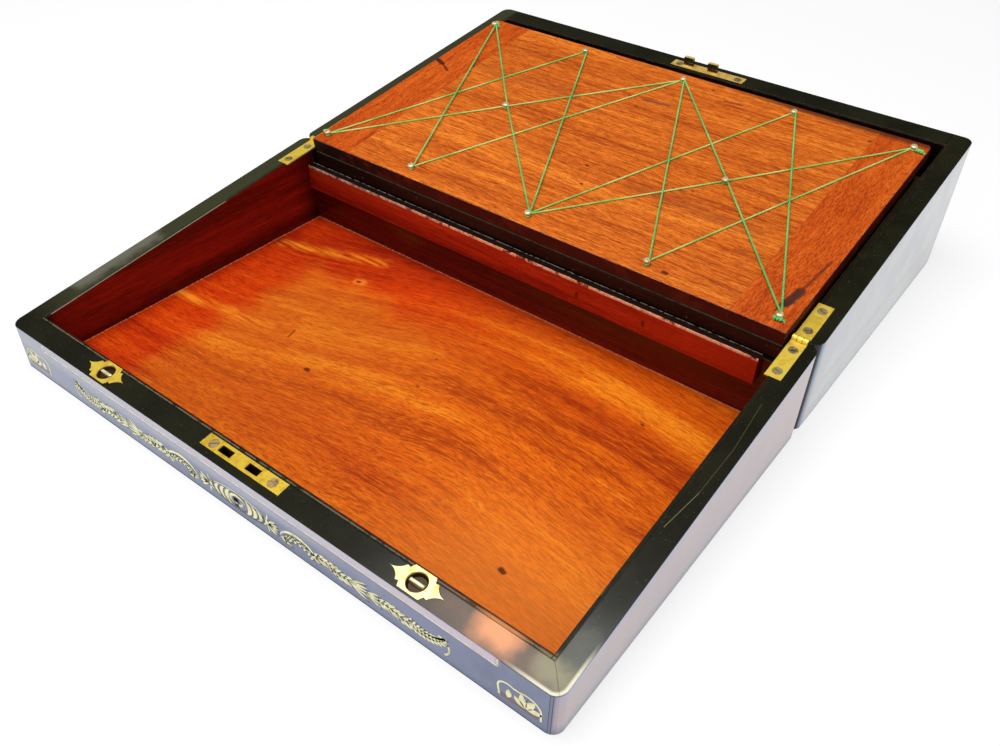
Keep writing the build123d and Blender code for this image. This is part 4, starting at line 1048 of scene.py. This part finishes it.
def cartouche(bright, grey):
    """The middle of the scroll: an eye round the keyhole, with bold crescents on both sides of it."""
    eye = Vector((0.6 * mm, 11.0 * mm))
    add_ribbon(grey, arc(eye, 7.6 * mm, 5.4 * mm, 0, 359, 30), even(0.9 * mm), hair)
    add_ribbon(bright, arc(eye, 6.2 * mm, 4.3 * mm, 15, 235, 22), leaf_width(1.9 * mm))
    add_ribbon(bright, arc(eye, 3.2 * mm, 2.2 * mm, 200, 395, 16), leaf_width(1.6 * mm))
    for side, first, last in ((1, -64, 64), (-1, 116, 244)):
        for ring in range(4):
            centre = Vector((eye.x + side * (3.4 + 4.3 * ring) * mm, eye.y))
            tall = (5.9 - 0.8 * ring) * mm
            add_ribbon(bright, arc(centre, 5.6 * mm, tall, first, last), leaf_width((3.3 - 0.45 * ring) * mm))
            shade = arc(centre + Vector((side * 2.2 * mm, 0)), 5.6 * mm, tall, first, last)
            add_ribbon(grey, shade, leaf_width(1.0 * mm), hair)
    add_ribbon(bright, arc(eye, 21.5 * mm, 6.7 * mm, 14, 166, 26), even(0.6 * mm))
    add_ribbon(grey, arc(eye, 22.5 * mm, 6.2 * mm, 194, 346, 26), even(0.7 * mm), hair)
    for side in (1, -1):
        for rise in (1, -1):
            root = Vector((eye.x + side * 21.0 * mm, eye.y + rise * 1.2 * mm))
            angle = 90 - side * (90 - rise * 42)
            add_ribbon(bright, bend(root, angle, 6.4 * mm, side * rise * 60, 8), leaf_width(1.1 * mm))


def leaf_spray(bright, grey, side, root, angles, length, width):
    """Leaves fanned from one root, each with a dark leaf behind it."""
    for angle in angles:
        leaf = bend(root, angle, length, -0.5 * angle, 10)
        behind = [place + Vector((1.0 * mm, -0.7 * mm)) for place in leaf]
        add_ribbon(grey, mirrored(behind, side), leaf_width(width), hair)
        add_ribbon(bright, mirrored(leaf, side), leaf_width(width))


def leafy_arch(bright, grey, side, x, radius, fall):
    """A bold arch with leaves hanging in it; fall is -1 where it stands upside down."""
    centre = Vector((x, scroll_z - fall * 4.2 * mm))
    for pen, wide, tall, width, depth in ((bright, 0.0, 9.4, 2.1, 0.0), (grey, 1.9, 7.4, 1.5, hair), (bright, 3.4, 5.8, 1.1, 0.0)):
        path = arc(centre, radius - wide * mm, fall * tall * mm, 172, 10, 24)
        add_ribbon(pen, mirrored(path, side), leaf_width(width * mm), depth)
    for index in range(8):
        turn = math.radians(158 - 19 * index)
        root = centre + Vector((math.cos(turn) * radius * 0.86, math.sin(turn) * fall * 7.6 * mm))
        leaf = bend(root, fall * (-52 - 7 * index), 4.8 * mm, -fall * 36, 8)
        add_ribbon(bright, mirrored(leaf, side), leaf_width(1.9 * mm))
        behind = [place + Vector((1.3 * mm, 0)) for place in leaf]
        add_ribbon(grey, mirrored(behind, side), leaf_width(1.3 * mm), hair)


def braid(bright, grey, side, first, last, draw):
    """A rope of leaves that cross over each other along a waving line, dark between them."""
    pitch = 3.1
    for index in range(round((last - first) / pitch)):
        x = (first + pitch * index) * mm
        sway = math.sin(index * 0.85) * 0.9 * mm
        for rise in (1, -1):
            root = Vector((x, scroll_z + sway - rise * 1.0 * mm))
            leaf = bend(root, rise * draw.uniform(64, 80), draw.uniform(7.0, 8.0) * mm, -rise * 70, 8)
            behind = [place + Vector((1.3 * mm, 0)) for place in leaf]
            add_ribbon(grey, mirrored(behind, side), leaf_width(1.9 * mm), hair)
            add_ribbon(bright, mirrored(leaf, side), leaf_width(2.1 * mm))


def garland(bright, grey, side, draw):
    """Between the middle and the end: a spray, a bold arch, a braid, and long thin leaves."""
    leaf_spray(bright, grey, side, Vector((23.5 * mm, 10.4 * mm)), (52, 26, 2, -24, -50), 7.6 * mm, 2.0 * mm)
    leafy_arch(bright, grey, side, 45.5 * mm, 13.5 * mm, 1)
    leaf_spray(bright, grey, side, Vector((32 * mm, 7.4 * mm)), (14, -18), 9.0 * mm, 1.8 * mm)
    braid(bright, grey, side, 56, 80, draw)
    leaf_spray(bright, grey, side, Vector((81 * mm, 10.4 * mm)), (40, 22, 6, -12, -32), 13.5 * mm, 1.5 * mm)
    leaf_spray(bright, grey, side, Vector((92 * mm, 10.8 * mm)), (34, 12, -10, -30), 10.5 * mm, 1.5 * mm)
    braid(bright, grey, side, 100, 119, draw)


def comb_end(bright, grey, side):
    """The end of the scroll: a toothed leaf that turns up, inside a round cap."""
    spine = bend(Vector((119 * mm, scroll_z + 1.2 * mm)), -26, 25 * mm, 80, 22)
    add_ribbon(bright, mirrored(spine, side), lambda share: (1.4 + 2.0 * math.sin(math.pi * share)) * mm)
    for index in range(1, 21, 2):
        root = spine[index]
        add_ribbon(bright, mirrored(bend(root, -84 + index * 3, 4.8 * mm, 24, 6), side), leaf_width(1.9 * mm))
        add_ribbon(bright, mirrored(bend(root, 100 - index * 2, 4.4 * mm, -50, 6), side), leaf_width(1.6 * mm))
        add_ribbon(grey, mirrored(bend(root + Vector((1.3 * mm, 0)), 100 - index * 2, 4.4 * mm, -50, 6), side), leaf_width(1.5 * mm), hair)
    cap = arc(Vector((138.4 * mm, scroll_z)), 5.2 * mm, 6.0 * mm, -62, 104, 18)
    add_ribbon(bright, mirrored(cap, side), even(1.1 * mm))


def corner_ornament(bright, grey, side):
    """An arched outline at the foot of a corner, with a leaf and a bud inside it."""
    outline = [Vector((172.2 * mm, 5.6 * mm)), Vector((171.2 * mm, 12 * mm))]
    outline += arc(Vector((176.8 * mm, 12.4 * mm)), 5.6 * mm, 4.8 * mm, 170, 62, 10)
    outline += arc(Vector((187.0 * mm, 12.2 * mm)), 7.4 * mm, 5.6 * mm, 124, -8, 16)
    outline.append(Vector((194.6 * mm, 6.2 * mm)))
    add_ribbon(bright, mirrored(outline, side), even(1.1 * mm))
    bud = bend(Vector((176.6 * mm, 7.2 * mm)), 72, 6.6 * mm, 30)
    add_ribbon(bright, mirrored(bud, side), leaf_width(3.2 * mm))
    for index, (angle, length, width) in enumerate(((156, 7.5, 3.4), (118, 9.5, 4.0), (76, 9.5, 3.8), (34, 8.5, 3.4))):
        root = Vector(((186.0 + 0.5 * index) * mm, 7.8 * mm))
        add_ribbon(bright, mirrored(bend(root, angle, length * mm, -24), side), leaf_width(width * mm))
        add_ribbon(grey, mirrored(bend(root, angle - 20, length * 0.8 * mm, -24), side), leaf_width(0.7 * mm), hair)


def string_line(bright):
    """The pale line under the rim, turned up to the rim at both ends."""
    line = [Vector((stringing_x * share, stringing_z)) for share in (-1, -0.5, 0, 0.5, 1)]
    add_ribbon(bright, line, even(stringing_width))
    for side in (-1, 1):
        x = side * (stringing_x - stringing_width / 2)
        add_ribbon(bright, [Vector((x, stringing_z)), Vector((x, rim_arris_z))], even(stringing_width))


def inlay_front_face():
    """All the inlay of the near face, in pale brass and in grey pewter."""
    bright, grey, line = bmesh.new(), bmesh.new(), bmesh.new()
    draw = random.Random(7)
    cartouche(bright, grey)
    for side in (1, -1):
        garland(bright, grey, side, draw)
        comb_end(bright, grey, side)
        corner_ornament(bright, grey, side)
    string_line(line)
    pale = metal("inlay_brass", srgb(250, 246, 200), srgb(206, 200, 140), (0.3, 0.45), 0.3)
    pewter = metal("inlay_pewter", srgb(92, 102, 104), srgb(52, 62, 68), (0.3, 0.5), 0.3)
    cream = metal("string_line_brass", srgb(255, 240, 222), srgb(226, 200, 186), (0.35, 0.5), 0.2)
    new_piece("front_scroll_brass", bright, "lid", "brass", pale)
    new_piece("front_scroll_pewter", grey, "lid", "steel", pewter)
    new_piece("front_string_line", line, "lid", "brass", cream)


# ======== Camera, table and light ========


def make_camera():
    """The camera of the photograph."""
    data = bpy.data.cameras.new("camera")
    data.lens = camera_lens
    data.sensor_width = sensor_width
    data.sensor_fit = "HORIZONTAL"
    camera = bpy.data.objects.new("camera", data)
    scene.collection.objects.link(camera)
    back = camera_right.cross(camera_up)
    turn = Matrix((camera_right, camera_up, back)).transposed()
    camera.matrix_world = Matrix.Translation(camera_place) @ turn.to_4x4()
    scene.camera = camera


def make_table():
    """A white table, seen and mirrored as white, that keeps the object's shadow."""
    bm = bmesh.new()
    bmesh.ops.create_grid(bm, x_segments=1, y_segments=1, size=40.0)
    mesh = bpy.data.meshes.new("table")
    bm.to_mesh(mesh)
    bm.free()
    table = bpy.data.objects.new("table", mesh)
    scene.collection.objects.link(table)
    tree = Tree("white_table")
    grain = tree.cloud(60, 3.0)
    white = tree.mix(grain, (0.80, 0.80, 0.80), (0.82, 0.82, 0.82))
    material = tree.finish(white, 0.7, grain, 0.02 * mm)
    path = tree.nodes.new("ShaderNodeLightPath")
    seen = tree.math("MAXIMUM", path.outputs["Is Camera Ray"], path.outputs["Is Glossy Ray"])
    seen = tree.math("MAXIMUM", seen, path.outputs["Is Transmission Ray"])
    plain = tree.nodes.new("ShaderNodeBsdfDiffuse")
    plain.inputs["Color"].default_value = (0.32, 0.32, 0.32, 1.0)
    glow = tree.nodes.new("ShaderNodeEmission")
    glow.inputs["Strength"].default_value = 0.72
    both = tree.nodes.new("ShaderNodeAddShader")
    tree.links.new(plain.outputs[0], both.inputs[0])
    tree.links.new(glow.outputs[0], both.inputs[1])
    choice = tree.nodes.new("ShaderNodeMixShader")
    tree.links.new(seen, choice.inputs[0])
    tree.links.new(tree.shader.outputs[0], choice.inputs[1])
    tree.links.new(both.outputs[0], choice.inputs[2])
    tree.links.new(choice.outputs[0], tree.nodes["Material Output"].inputs["Surface"])
    mesh.materials.append(material)


def make_lamp(name, place, target, size, power):
    """A square soft light that shines at a point."""
    data = bpy.data.lights.new(name, "AREA")
    data.size = size
    data.energy = power
    lamp = bpy.data.objects.new(name, data)
    lamp.location = place
    lamp.rotation_euler = (Vector(target) - Vector(place)).to_track_quat("-Z", "Y").to_euler()
    scene.collection.objects.link(lamp)


def make_world():
    """A room that is bright in front and dim behind, and white where the camera sees it."""
    world = bpy.data.worlds.new("room")
    scene.world = world
    world.use_nodes = True
    tree = world.node_tree
    make = tree.nodes.new
    where = make("ShaderNodeTexCoord")
    facing = make("ShaderNodeVectorMath")
    facing.operation = "DOT_PRODUCT"
    tree.links.new(where.outputs["Generated"], facing.inputs[0])
    facing.inputs[1].default_value = Vector((0.45, -0.80, 0.40)).normalized()
    level = make("ShaderNodeMapRange")
    tree.links.new(facing.outputs["Value"], level.inputs["Value"])
    for name, value in (("From Min", -0.35), ("From Max", 0.8), ("To Min", 0.07), ("To Max", 0.90)):
        level.inputs[name].default_value = value
    path = make("ShaderNodeLightPath")
    strength = make("ShaderNodeMix")
    tree.links.new(path.outputs["Is Camera Ray"], strength.inputs[0])
    tree.links.new(level.outputs[0], strength.inputs[2])
    strength.inputs[3].default_value = 1.0
    background = tree.nodes["Background"]
    background.inputs["Color"].default_value = (1.0, 1.0, 1.0, 1.0)
    tree.links.new(strength.outputs[0], background.inputs["Strength"])


dress_nodes()
lace_string()
lay_soft_sheets()
recess_near_wall()
inlay_front_face()
make_camera()
make_table()
make_lamp("overhead", (-0.10, -0.19, 1.20), (-0.10, -0.19, 0), 0.70, 9.0)
make_world()

scene.view_settings.view_transform = "Standard"
